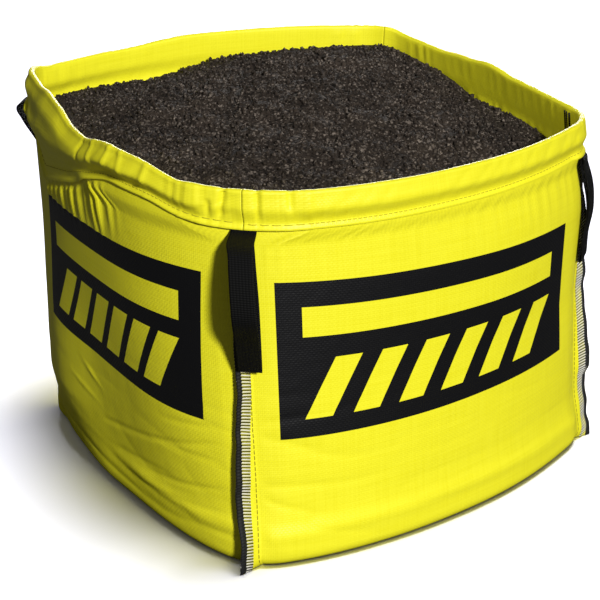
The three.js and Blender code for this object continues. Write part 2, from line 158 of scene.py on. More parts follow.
def sample(places: Array, run: Array, line: Array) -> Array:
    """Returns the points or vectors of a line at places along its run."""
    return np.stack([np.interp(places, run, line[:, axis]) for axis in range(3)], -1)


class Noise:
    """Seeded smooth noise on a plane, from about -1 to 1."""

    TABLE = 256
    GAIN = 1.5

    def __init__(self, seed: int) -> None:
        """Shuffles the lattice's gradients.

        Args:
            seed: What the shuffle starts from.
        """
        made = np.random.default_rng(seed)
        self.order = made.permutation(self.TABLE)
        self.angle = made.uniform(0.0, 2.0 * math.pi, self.TABLE)

    def __call__(self, x: Array, y: Array) -> Array:
        """Samples the noise.

        Args:
            x: Places across, in cells of the lattice.
            y: Places up, in cells of the lattice.

        Returns:
            The noise at each place.
        """
        x, y = np.broadcast_arrays(np.asarray(x, float), np.asarray(y, float))
        cell_x, cell_y = np.floor(x).astype(int), np.floor(y).astype(int)
        part_x, part_y = x - cell_x, y - cell_y
        ease_x = part_x**3 * (part_x * (6 * part_x - 15) + 10)
        ease_y = part_y**3 * (part_y * (6 * part_y - 15) + 10)
        slopes = []
        for step_x, step_y in ((0, 0), (1, 0), (0, 1), (1, 1)):
            first = self.order[(cell_x + step_x) % self.TABLE]
            angle = self.angle[self.order[(first + cell_y + step_y) % self.TABLE]]
            slopes.append(np.cos(angle) * (part_x - step_x) + np.sin(angle) * (part_y - step_y))
        low, high = mix(slopes[0], slopes[1], ease_x), mix(slopes[2], slopes[3], ease_x)
        return self.GAIN * mix(low, high, ease_y)

    def ridge(self, x: Array, y: Array, sharp: float = 3.0) -> Array:
        """Samples thin creases.

        Args:
            x: Places across, in cells of the lattice.
            y: Places up, in cells of the lattice.
            sharp: How narrow the creases are.

        Returns:
            1 along a crease and near 0 between creases.
        """
        return np.clip(1.0 - np.abs(self(x, y)), 0.0, 1.0) ** sharp


@dataclass(frozen=True)
class LoopHang:
    """How a lifting loop hangs.

    It swings along the bag, its outer leg bows out most at the knee, and it can sit raised under the
    hem. Together is the share of that bow which the inner leg takes too, short is how much it hangs
    less far down than the others, twist turns it about its own length, in degrees, and tilt is how
    far the bow leans along the bag, as a share of it.
    """

    swing: float
    bow: float
    knee: float
    raised: float = 0.0
    together: float = 0.0
    short: float = 0.0
    twist: float = 0.0
    tilt: float = 0.0


@dataclass(frozen=True)
class Corner:
    """How the full bag has slumped at one corner, against a true square.

    The shoulder is how far the soil pushes the corner out below the hem, and the height shares where
    that starts and where it is full. The seam width is given under the loop and at the floor, and
    columns is how many grid columns take each half of the corner. The loop turn is how much further
    the seam is turned behind the loop.
    """

    name: str
    sign: tuple[int, int]
    rim_shift: Triple
    base_shift: Pair
    rim_round: float
    soil_drop: float
    seam_turn: float
    loop: LoopHang
    shoulder: Triple = (0.0, 0.36, 0.86)
    seam_width: Pair = (0.032, 0.032)
    columns: int = 12
    loop_turn: float = 0.0


@dataclass(frozen=True)
class Wall:
    """How one side swells past the line between its corners, at the floor, half way up and the rim."""

    normal: tuple[int, int]
    bulge: Triple
    power: Pair = (2.2, 2.2)
    skew: Pair = (0.0, 0.0)


@dataclass(frozen=True)
class Station:
    """A place across a wall: how far along its zone it lies."""

    zone: Zone
    at: float


CORNERS = (
    Corner("front_left", (-1, -1), (0.005, 0.010, 0.008), (-0.004, -0.034), 0.110, 0.050, -50.0,
           LoopHang(0.004, 0.085, 0.42, tilt=0.2), seam_width=(0.029, 0.042), columns=36),
    Corner("front_right", (1, -1), (-0.021, 0.015, -0.008), (0.024, 0.042), 0.050, 0.105, 55.0,
           LoopHang(0.0, 0.011, 0.52, together=0.72, short=0.022, twist=-6.0), (0.014, 0.47, 0.72),
           (0.030, 0.042), loop_turn=27.0),
    Corner("back_right", (1, 1), (0.027, -0.035, -0.025), (0.008, 0.008), 0.050, 0.042, 45.0,
           LoopHang(0.0, 0.016, 0.3)),
    Corner("back_left", (-1, 1), (-0.006, 0.031, 0.022), (-0.028, -0.019), 0.042, 0.085, -88.0,
           LoopHang(-0.090, 0.022, 0.08, raised=0.016), (0.019, 0.36, 0.86)),
)

WALLS = (
    Wall((0, -1), (0.082, 0.096, 0.092)),
    Wall((1, 0), (0.040, 0.050, 0.016)),
    Wall((0, 1), (0.060, 0.092, 0.093)),
    Wall((-1, 0), (0.058, 0.088, 0.092), (4.0, 2.0), (0.1, 0.5)),
)


@dataclass(frozen=True)
class BagShape:
    """The full bag's form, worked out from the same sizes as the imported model.

    The shoulder's fade is how far past its full height share, and past the hem's edge, it dies away.
    """

    span: float = 0.790
    rim_height: float = 0.730
    bottom_radius: float = 0.026
    cloth: float = 0.0008
    clearance: float = 0.0003
    seam_allowance: float = 0.032
    seam_recess: float = 0.010
    seam_round: float = 0.050
    seam_slope: float = 0.034
    seam_ease: float = 0.105
    hem_depth: float = 0.072
    hem_fold: float = 0.012
    hem_puff: float = 0.015
    hem_stitch_inset: float = 0.011
    hem_flare: float = 0.0050
    webbing: float = 0.002
    shoulder_fade: Pair = (0.03, 0.04)

    @property
    def wall_height(self) -> float:
        """The height from the rolled bottom edge to the rim."""
        return self.rim_height - self.bottom_radius

    @property
    def hem_edge(self) -> float:
        """The height share of the hem's sewn edge."""
        return self.at_drop(self.hem_depth)

    @property
    def seam_top(self) -> float:
        """The height share below which a seam stands at its full width."""
        return self.at_drop(self.hem_depth + self.seam_slope)

    def at_drop(self, drop: Measure) -> Measure:
        """Returns the height share at a distance below the rim."""
        return 1.0 - drop / self.wall_height

    def corner_at(self, corner: int, v: Array) -> Array:
        """A corner before rounding, pulled in along its diagonal where the seam runs.

        Args:
            corner: The corner's number.
            v: Height shares.

        Returns:
            One point for each height share.
        """
        made = CORNERS[corner]
        v = np.asarray(v, float)
        recess = self.seam_recess * (1.0 - smooth(v, self.seam_top, self.hem_edge))
        recess = recess * smooth(v, 0.0, self.seam_ease / self.wall_height)
        size, low, full = made.shoulder
        shoulder = size * np.clip((v - low) / (full - low), 0.0, 1.0)
        fades, gone = self.shoulder_fade
        shoulder = shoulder * (1.0 - smooth(v, full + fades, self.hem_edge + gone))
        half = self.span / 2 + (shoulder - recess) * math.sqrt(0.5)
        x, y = (
            made.sign[axis] * half + mix(made.base_shift[axis], made.rim_shift[axis], v)
            for axis in (0, 1)
        )
        return np.stack([x, y, self.bottom_radius + v * (self.wall_height + made.rim_shift[2])], -1)

    def diagonal(self, corner: int) -> tuple[Array, Array]:
        """Returns the way straight out of a corner and the way along to the side that starts there."""
        out = unit(np.array([*CORNERS[corner].sign, 0.0]))
        return out, level_left(out)

    def side_point(self, side: int, s: Array, v: Array) -> Array:
        """A point on a side before its corners are rounded.

        Args:
            side: The side's number.
            s: Places along it, from -1 to 1.
            v: Height shares.

        Returns:
            One point for each place.
        """
        wall = WALLS[side]
        low, middle, rim = wall.bulge
        bulge = low * (1 - v) * (1 - 2 * v) + middle * 4 * v * (1 - v) + rim * v * (2 * v - 1)
        swell = bulge * (1 - np.abs(s) ** mix(*wall.power, v)) * (1 + mix(*wall.skew, v) * s)
        share = ((s + 1) / 2)[..., None]
        p = mix(self.corner_at(side, v), self.corner_at((side + 1) % 4, v), share)
        return p + swell[..., None] * np.array([*wall.normal, 0.0])

    def round_share(self, side: int, corner: int, v: Array) -> Array:
        """How much of a side's half length its rounded corner takes.

        Args:
            side: The side's number.
            corner: The number of the corner at one end of it.
            v: Height shares.

        Returns:
            The share of the half length at each height share.
        """
        length = np.linalg.norm(self.corner_at(side, v) - self.corner_at((side + 1) % 4, v), axis=-1)
        share = smooth(v, self.seam_top, self.hem_edge)
        return 2 * mix(self.seam_round, CORNERS[corner].rim_round, share) / length

    def corner_curve(self, corner: int, t: Measure, v: Array) -> Array:
        """A corner's rounded edge.

        Args:
            corner: The corner's number.
            t: 0 on the side that starts there, 1 on the side that ends there.
            v: Height shares.

        Returns:
            One point for each height share.
        """
        before = (corner + 3) % 4
        start = self.side_point(corner, -1 + self.round_share(corner, corner, v), v)
        end = self.side_point(before, 1 - self.round_share(before, corner, v), v)
        t = np.broadcast_to(np.asarray(t, float), v.shape)[..., None]
        return (1 - t) ** 2 * start + 2 * t * (1 - t) * self.corner_at(corner, v) + t**2 * end

    def ring(self, side: int, station: Station, v: Array) -> tuple[Array, Array]:
        """The bag's middle surface at a station.

        Args:
            side: The side's number.
            station: The place across the side.
            v: Height shares.

        Returns:
            The points and the level directions straight out of the cloth.
        """
        step = 0.01
        middle = station.zone is Zone.MIDDLE
        corner = side if station.zone is Zone.START else (side + 1) % 4
        start = -1 + self.round_share(side, side, v)
        end = 1 - self.round_share(side, (side + 1) % 4, v)

        def at(shift: float) -> Array:
            """Returns the points a step further along."""
            if middle:
                return self.side_point(side, mix(start, end, station.at + shift), v)
            return self.corner_curve(corner, station.at - shift, v)

        if not middle and station.at == 0.5:
            return at(0.0), np.broadcast_to(self.diagonal(corner)[0], (*v.shape, 3))
        along = at(step) - at(-step)
        along[..., 2] = 0.0
        return at(0.0), -level_left(unit(along))

    def loop_room(self) -> float:
        """Returns how far the hem stands off the wall where webbing passes under it."""
        return 2 * (self.webbing + self.clearance) + 3 * self.clearance + self.cloth


def linear(code: str) -> tuple[float, float, float, float]:
    """Turns a colour to linear light.

    Args:
        code: The colour as an sRGB hex value.

    Returns:
        Red, green, blue and full cover.
    """
    parts = [int(code.lstrip("#")[i:i + 2], 16) / 255 for i in (0, 2, 4)]
    r, g, b = (c / 12.92 if c <= 0.04045 else ((c + 0.055) / 1.055) ** 2.4 for c in parts)
    return r, g, b, 1.0


def node(tree: Tree, kind: str, inputs: dict | tuple = (), out: int | str = 0, **settings) -> Socket | None:
    """Adds a node.

    Args:
        tree: The node tree.
        kind: The node's type name, without the prefix that all shader nodes share.
        inputs: Values or other nodes' sockets, by input name or number, or in order.
        out: Which of its outputs is wanted.
        **settings: Values for the node's own properties.

    Returns:
        That output, or None for a node that has no outputs.
    """
    made = tree.nodes.new(f"ShaderNode{kind}")
    for name, value in settings.items():
        setattr(made, name, value)
    named = inputs if isinstance(inputs, dict) else dict(enumerate(inputs))
    for name, value in named.items():
        if isinstance(value, Socket):
            tree.links.new(value, made.inputs[name])
        else:
            made.inputs[name].default_value = value
    return made.outputs[out] if made.outputs else None


def new_material(name: str) -> tuple[Material, Tree]:
    """Starts a material.

    Args:
        name: The material's name.

    Returns:
        The material and its empty node tree.
    """
    material = bpy.data.materials.new(name)
    material.use_nodes = True
    material.node_tree.nodes.clear()
    return material, material.node_tree


def ribs(tree: Tree, way: Socket, pitch: float) -> Socket:
    """Draws rounded ribs side by side.

    Args:
        tree: The material's node tree.
        way: Socket with the distance across the ribs.
        pitch: The width of one rib.

    Returns:
        A socket that is 0 between the ribs and 1 on top of each.
    """
    turn = node(tree, "Math", (way, math.pi / pitch), operation="MULTIPLY")
    wave = node(tree, "Math", (turn,), operation="SINE")
    return node(tree, "Math", (wave,), operation="ABSOLUTE")


@dataclass(frozen=True)
class PrintField:
    """A printed field on a wall, in metres along the cloth from its start seam and up from the floor.

    Its bare shapes are a long bar over a row of slanted stripes. Lean is how far the field's end leans
    back for each metre down.
    """

    start: float
    end: float
    low: float
    high: float
    bar_height: float = 0.058
    margin: float = 0.048
    stripes: int = 6
    stripe_width: float = 0.052
    stripe_height: float = 0.118
    stripe_slant: float = 0.060
    stripe_foot: float = 0.036
    lean: float = 0.0

    def box(self, tree: Tree, places: tuple, across: tuple, up: tuple) -> Socket:
        """Marks a box.

        Args:
            tree: The material's node tree.
            places: Sockets with the distances across and up.
            across: Where the box starts and ends across.
            up: Where it starts and ends going up.

        Returns:
            A socket that is 1 in the box and 0 round it.
        """
        inside = 1.0
        for place, ends in zip(places, (across, up)):
            for end, test in zip(ends, ("GREATER_THAN", "LESS_THAN")):
                passed = node(tree, "Math", (place, end), operation=test)
                inside = node(tree, "Math", (inside, passed), operation="MULTIPLY")
        return inside

    def ink(self, tree: Tree, u: Socket, v: Socket) -> Socket:
        """Draws the field's ink.

        Args:
            tree: The material's node tree.
            u: Socket with the distance along the cloth.
            v: Socket with the height on the cloth.

        Returns:
            A socket that is 1 on the ink and 0 on bare cloth.
        """
        if self.lean:
            below = node(tree, "Math", (self.high, v), operation="SUBTRACT")
            u = node(tree, "Math", (below, self.lean, u), operation="MULTIPLY_ADD")
        left, right = self.start + self.margin, self.end - self.margin
        bar_top = self.high - self.margin
        whole = self.box(tree, (u, v), (self.start, self.end), (self.low, self.high))
        bar = self.box(tree, (u, v), (left, right), (bar_top - self.bar_height, bar_top))
        rise = node(tree, "Math", (v, self.low + self.stripe_foot), operation="SUBTRACT")
        slant = -self.stripe_slant / self.stripe_height
        upright = node(tree, "Math", (rise, slant, u), operation="MULTIPLY_ADD")
        across = node(tree, "Math", (upright, left), operation="SUBTRACT")
        reach = right - left - self.stripe_width - self.stripe_slant
        step = node(tree, "Math", (across, reach / (self.stripes - 1)), operation="FLOORED_MODULO")
        band = node(tree, "Math", (step, self.stripe_width), operation="LESS_THAN")
        row_ends = (0.0, reach + self.stripe_width)
        row = self.box(tree, (across, rise), row_ends, (0.0, self.stripe_height))
        stripes = node(tree, "Math", (band, row), operation="MULTIPLY")
        bare = node(tree, "Math", (bar, stripes), operation="MAXIMUM")
        inked = node(tree, "Math", (1.0, bare), operation="SUBTRACT")
        return node(tree, "Math", (whole, inked), operation="MULTIPLY")


@dataclass(frozen=True)
class WovenPolypropylene:
    """Flat polypropylene tapes in a plain weave: an even colour with a waxy sheen and fine streaks."""

    colour: str = "#fbf42c"
    streak: str = "#efe612"
    ink: str = "#0a0a0c"
    tape: float = 0.0042  # real tapes are 2.5 to 3 mm wide, drawn coarser so that the weave shows
    streaks_per_metre: float = 6.0
    creases_per_metre: float = 26.0
    crease_height: float = 0.0020
    weave_height: float = 0.0006
    roughness: float = 0.46
    specular: float = 0.36

    def material(self, name: str, print_field: PrintField | None = None) -> Material:
        """Makes the cloth's material.

        Args:
            name: The material's name.
            print_field: What is printed on the cloth.

        Returns:
            The material, which reads the UV map cloth in metres.
        """
        material, tree = new_material(name)
        uv = node(tree, "UVMap", uv_map="cloth")
        u = node(tree, "SeparateXYZ", (uv,))
        v = u.node.outputs[1]
        over = [ribs(tree, way, self.tape) for way in (u, v)]
        turn = node(tree, "TexChecker", {"Vector": uv, "Scale": 1 / self.tape}, "Fac")
        weave = node(tree, "Mix", {0: turn, 2: over[0], 3: over[1]})
        fine, long = 1 / self.tape, self.streaks_per_metre
        streaks = []
        for stretch in ((fine, long, 1.0), (long, fine, 1.0)):
            laid = node(tree, "Mapping", {"Vector": uv, "Scale": stretch})
            streaks.append(node(tree, "TexNoise", {"Vector": laid, "Scale": 1.0, "Detail": 2.0}))
        both = node(tree, "Math", streaks, operation="ADD")
        share = node(tree, "MapRange", (both, 0.85, 1.35, 0.0, 0.55))
        ends = {6: linear(self.colour), 7: linear(self.streak)}
        colour = node(tree, "Mix", {0: share, **ends}, 2, data_type="RGBA")
        creased = {"Vector": uv, "Scale": self.creases_per_metre, "Detail": 5.0, "Roughness": 0.6}
        crease = node(tree, "TexNoise", creased)
        soft = node(tree, "Bump", {"Strength": 0.5, "Distance": self.crease_height, "Height": crease})
        woven = {"Strength": 0.35, "Distance": self.weave_height, "Height": weave, "Normal": soft}
        normal = node(tree, "Bump", woven)
        if print_field:
            ink = print_field.ink(tree, u, v)
            colour = node(tree, "Mix", {0: ink, 6: colour, 7: linear(self.ink)}, 2, data_type="RGBA")
        surface = node(tree, "BsdfPrincipled", {
            "Base Color": colour, "Roughness": self.roughness, "Normal": normal,
            "Specular IOR Level": self.specular,
        })
        node(tree, "OutputMaterial", (surface,))
        return material


@dataclass(frozen=True)
class RibbedWebbing:
    """Black polypropylene webbing: dense ribs across it, dull, with a faint shine on each rib, painted
    lighter on the rib tops.
    """

    colour: str = "#080808"
    # painted highlight: the colour drawn on the rib tops
    rib_sheen: str = "#131311"
    rib: float = 0.0042
    cord: float = 0.0058
    rib_height: float = 0.0010
    roughness: float = 0.70
    specular: float = 0.14

    def material(self, name: str) -> Material:
        """Makes the webbing's material.

        Args:
            name: The material's name.

        Returns:
            The material, which reads the UV map cloth in metres.
        """
        material, tree = new_material(name)
        uv = node(tree, "UVMap", uv_map="cloth")
        u = node(tree, "SeparateXYZ", (uv,))
        cords = ribs(tree, u, self.cord)
        across = ribs(tree, u.node.outputs[1], self.rib)
        height = node(tree, "Math", (cords, 0.5, across), operation="MULTIPLY_ADD")
        normal = node(tree, "Bump", {"Strength": 0.7, "Distance": self.rib_height, "Height": height})
        # painted highlight: the higher the rib, the more of the lighter colour
        share = node(tree, "MapRange", (height, 0.7, 1.5, 0.0, 0.6))
        ends = {6: linear(self.colour), 7: linear(self.rib_sheen)}
        colour = node(tree, "Mix", {0: share, **ends}, 2, data_type="RGBA")
        surface = node(tree, "BsdfPrincipled", {
            "Base Color": colour, "Roughness": self.roughness, "Normal": normal,
            "Specular IOR Level": self.specular,
        })
        node(tree, "OutputMaterial", (surface,))
        return material


@dataclass(frozen=True)
class SewingThread:
    """Spun polyester thread: matt, with the twist of its plies as a fine bump and as painted shade, darker
    between the plies.
    """

    colour: str
    roughness: float = 0.75
    twist: float = 0.0012
    ply_height: float = 0.0005
    # painted shade: the share of the colour left between the plies
    groove_shade: float = 0.75

    def material(self, name: str) -> Material:
        """Makes the thread's material.

        Args:
            name: The material's name.

        Returns:
            The material.
        """
        material, tree = new_material(name)
        place = node(tree, "TexCoord", out="Object")
        ply = node(tree, "TexNoise", {"Vector": place, "Scale": 1 / self.twist, "Detail": 1.0})
        normal = node(tree, "Bump", {"Strength": 0.5, "Distance": self.ply_height, "Height": ply})
        # painted shade: darker where the plies dip, full colour on top of them
        lit = linear(self.colour)
        dim = (*(self.groove_shade * part for part in lit[:3]), 1.0)
        colour = node(tree, "Mix", {0: ply, 6: dim, 7: lit}, 2, data_type="RGBA")
        finish = {"Base Color": colour, "Roughness": self.roughness, "Normal": normal}
        surface = node(tree, "BsdfPrincipled", finish)
        node(tree, "OutputMaterial", (surface,))
        return material


@dataclass(frozen=True)
class ScreenedTopsoil:
    """Screened dark topsoil: matt moist crumb, with painted shade near black in the low places between
    grains, uneven patches and a few paler grains.
    """

    # painted shade: the colour of the low places between grains
    pit_shade: str = "#120e0b"
    crumb: str = "#413830"
    grain: str = "#a39689"
    crumb_size: float = 0.007
    grain_size: float = 0.004
    patches_per_metre: float = 9.0
    relief: float = 0.0035
    roughness: float = 0.95
    specular: float = 0.2

    def material(self, name: str) -> Material:
        """Makes the soil's material.

        Args:
            name: The material's name.

        Returns:
            The material.
        """
        material, tree = new_material(name)
        place = node(tree, "TexCoord", out="Object")
        crumbs = {"Vector": place, "Scale": 1 / self.crumb_size, "Detail": 4.0, "Roughness": 0.65}
        lumps = node(tree, "TexNoise", crumbs)
        tone = node(tree, "TexVoronoi", {"Vector": place, "Scale": 1 / self.grain_size}, "Color")
        from_middle = tone.node.outputs["Distance"]
        broad = {"Vector": place, "Scale": self.patches_per_metre, "Detail": 3.0}
        patches = node(tree, "TexNoise", broad)
        # painted shade where the crumb lies low, mixed with uneven patches of tone
        uneven = node(tree, "Math", (patches, 0.35, lumps), operation="MULTIPLY_ADD")
        depth = node(tree, "MapRange", (uneven, 0.48, 0.84))
        ends = {6: linear(self.pit_shade), 7: linear(self.crumb)}
        body = node(tree, "Mix", {0: depth, **ends}, 2, data_type="RGBA")
        bright = node(tree, "SeparateColor", (tone,))
        few = node(tree, "MapRange", (bright, 0.72, 1.0, 0.0, 0.75))
        # the paler grains show only outside the painted shade
        pale = node(tree, "Math", (few, depth), operation="MULTIPLY")
        colour = node(tree, "Mix", {0: pale, 6: body, 7: linear(self.grain)}, 2, data_type="RGBA")
        height = node(tree, "Math", (from_middle, -0.4, lumps), operation="MULTIPLY_ADD")
        normal = node(tree, "Bump", {"Strength": 0.9, "Distance": self.relief, "Height": height})
        surface = node(tree, "BsdfPrincipled", {
            "Base Color": colour, "Roughness": self.roughness, "Normal": normal,
            "Specular IOR Level": self.specular,
        })
        node(tree, "OutputMaterial", (surface,))
        return material


def mesh_object(name: str, points: Array, faces: list, uv: Array | None = None) -> Piece:
    """Makes a mesh object at the origin.

    Args:
        name: The object's name.
        points: The vertices, one row each.
        faces: The faces, each a list of vertex numbers.
        uv: For each vertex its place on the cloth, in metres.

    Returns:
        The new object, smooth shaded, with the UV map cloth where uv is given.
    """
    mesh = bpy.data.meshes.new(name)
    mesh.from_pydata(np.asarray(points, float).tolist(), [], faces)
    if uv is not None:
        layer = mesh.uv_layers.new(name="cloth")
        corners = np.zeros(len(mesh.loops), np.int32)
        mesh.loops.foreach_get("vertex_index", corners)
        layer.data.foreach_set("uv", uv[corners].astype(np.float32).ravel())
    mesh.validate()
    made = bpy.data.objects.new(name, mesh)
    bpy.context.scene.collection.objects.link(made)
    mesh.polygons.foreach_set("use_smooth", np.ones(len(mesh.polygons), bool))
    return made


def apply_modifier(piece: Piece, kind: str, **settings) -> None:
    """Adds a modifier to a piece and applies it.

    Args:
        piece: The object.
        kind: The modifier's type name.
        **settings: The modifier's own values.
    """
    bpy.ops.object.select_all(action="DESELECT")
    bpy.context.view_layer.objects.active = piece
    piece.select_set(True)
    modifier = piece.modifiers.new(kind.lower(), kind)
    for name, value in settings.items():
        setattr(modifier, name, value)
    bpy.ops.object.modifier_apply(modifier=modifier.name)


def grid_faces(rows: int, columns: int, first: int = 0) -> list[tuple[int, int, int, int]]:
    """The quads of a grid of vertices numbered row by row.

    Args:
        rows: How many rows of vertices the grid has.
        columns: How many vertices each row has.
        first: The number of the grid's first vertex.

    Returns:
        The vertex numbers of each quad.
    """
    return [
        (a, a + columns, a + columns + 1, a + 1)
        for r in range(rows - 1)
        for a in range(first + r * columns, first + (r + 1) * columns - 1)
    ]


def dress(piece: Piece, slot: Slot, *materials: Material) -> Piece:
    """Gives a piece its materials and lets it ride on the bag's one body.

    Args:
        piece: The object.
        slot: Not used.
        *materials: Its materials, in the order of its faces' material numbers.

    Returns:
        The same object.
    """
    for material in materials:
        piece.data.materials.append(material)
    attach(piece, BODY)
    log.info("%s: %d faces", piece.name, len(piece.data.polygons))
    return piece


@dataclass(frozen=True)
class Tubes:
    """Many short threads in one mesh: the points of each and two directions across it."""

    points: Array
    wide: Array
    high: Array
    sides: int = 6

    def mesh(self) -> tuple[Array, list]:
        """Rounds the threads.

        Returns:
            The vertices and the faces, with each thread closed at both ends.
        """
        count, length, _ = self.points.shape
        turn = np.linspace(0.0, 2 * math.pi, self.sides, endpoint=False)
        rings = (
            self.points[:, :, None]
            + np.cos(turn)[:, None] * self.wide[:, :, None]
            + np.sin(turn)[:, None] * self.high[:, :, None]
        )
        faces = []
        for thread in range(count):
            first = thread * length * self.sides
            for ring in range(first, first + (length - 1) * self.sides, self.sides):
                for i in range(self.sides):
                    j = (i + 1) % self.sides
                    faces.append((ring + i, ring + j, ring + self.sides + j, ring + self.sides + i))
            last = first + (length - 1) * self.sides
            faces.append(tuple(range(first + self.sides - 1, first - 1, -1)))
            faces.append(tuple(range(last, last + self.sides)))
        return rings.reshape(-1, 3), faces


@dataclass(frozen=True)
class Seam:
    """A corner seam: both cloths turned outwards side by side and folded over to one side.

    Sway is how many degrees it wavers down its length. The loop's fade and the width's ease are the
    drops between which its turn and its width change.
    """

    shape: BagShape
    corner: int
    ripple: float = 0.0042
    ripple_length: float = 0.085
    ripple_rate: float = 2.1
    grow: float = 0.030
    most_turn: float = 86.0
    sway: float = 14.0
    finer_sway: Pair = (0.6, 2.3)
    loop_fade: Pair = (0.24, 0.36)
    width_ease: Pair = (0.33, 0.60)
    seed: int = 40

    def rows(self, v: Array, roll: Array) -> SeamRows:
        """The seam's frame on each row.

        Args:
            v: Height shares.
            roll: The rolled bottom edge's angle on each row, a right angle above it.

        Returns:
            The roots, the ways out to the raw edge, the ways across, and the seam's width.
        """
        shape, made = self.shape, CORNERS[self.corner]
        root, out = shape.ring(self.corner, Station(Zone.START, 0.5), v)
        under = shape.bottom_radius * (1 - np.sin(roll))
        drop = (1 - v) * shape.wall_height
        share = smooth(drop, shape.hem_depth, shape.hem_depth + self.grow)
        noise = Noise(self.seed + self.corner)
        size, rate = self.finer_sway
        wave = noise(drop / self.ripple_length, 0.5) + size * noise(rate * drop / self.ripple_length, 7.5)
        turn = made.seam_turn + made.loop_turn * (1 - smooth(drop, *self.loop_fade)) + self.sway * wave
        turn = np.clip(turn, -self.most_turn, self.most_turn) * share
        flank = turned(np.array(out), turn)
        width = mix(*made.seam_width, smooth(drop, *self.width_ease)) * share
        reach = width[:, None] * flank + under[:, None] * out
        width = np.maximum(np.linalg.norm(reach, axis=-1), TINY)
        flank = np.where((width > 10 * TINY)[:, None], reach / width[:, None], flank)
        across = level_left(flank)
        root = root - under[:, None] * out
        root[:, 2] -= (shape.bottom_radius - shape.cloth / 2) * np.cos(roll)
        return root, flank, across, width

    def point(self, rows: SeamRows, reach: Measure, aside: Measure) -> Array:
        """Points on the seam.

        Args:
            rows: The seam's frame on each row.
            reach: Distance out from the root on each row, as a share of the seam's width.
            aside: Distance across from the seam's middle.

        Returns:
            One point for each row.
        """
        root, flank, across, width = rows
        reach = np.broadcast_to(np.asarray(reach, float), width.shape)
        aside = np.broadcast_to(np.asarray(aside, float), width.shape)
        curl = self.ripple * np.sin(self.ripple_rate * root[:, 2] / self.ripple_length)
        bend = curl * reach**2 * np.minimum(width / self.shape.seam_allowance, 1.0)
        return root + (reach * width)[:, None] * flank + (aside + bend)[:, None] * across


@dataclass(frozen=True)
class Swell:
    """A rise along a line: its height, and where it starts, is full, begins to fall and is gone."""

    height: float
    start: float
    full: float
    falls: float
    gone: float

    def at(self, place: Array) -> Array:
        """Returns the rise at each place."""
        fall = 1 - smooth(place, self.falls, self.gone)
        return self.height * smooth(place, self.start, self.full) * fall


RIM_SWELLS = {
    Side.LEFT: (Swell(0.020, 0.440, 0.560, 0.640, 0.780), Swell(0.012, 0.120, 0.220, 0.300, 0.385)),
    Side.BACK: (Swell(-0.012, 0.400, 0.600, 0.760, 0.840),),
    Side.RIGHT: (Swell(0.007, 0.280, 0.360, 0.365, 0.450), Swell(-0.007, 0.450, 0.550, 0.680, 0.735)),
}


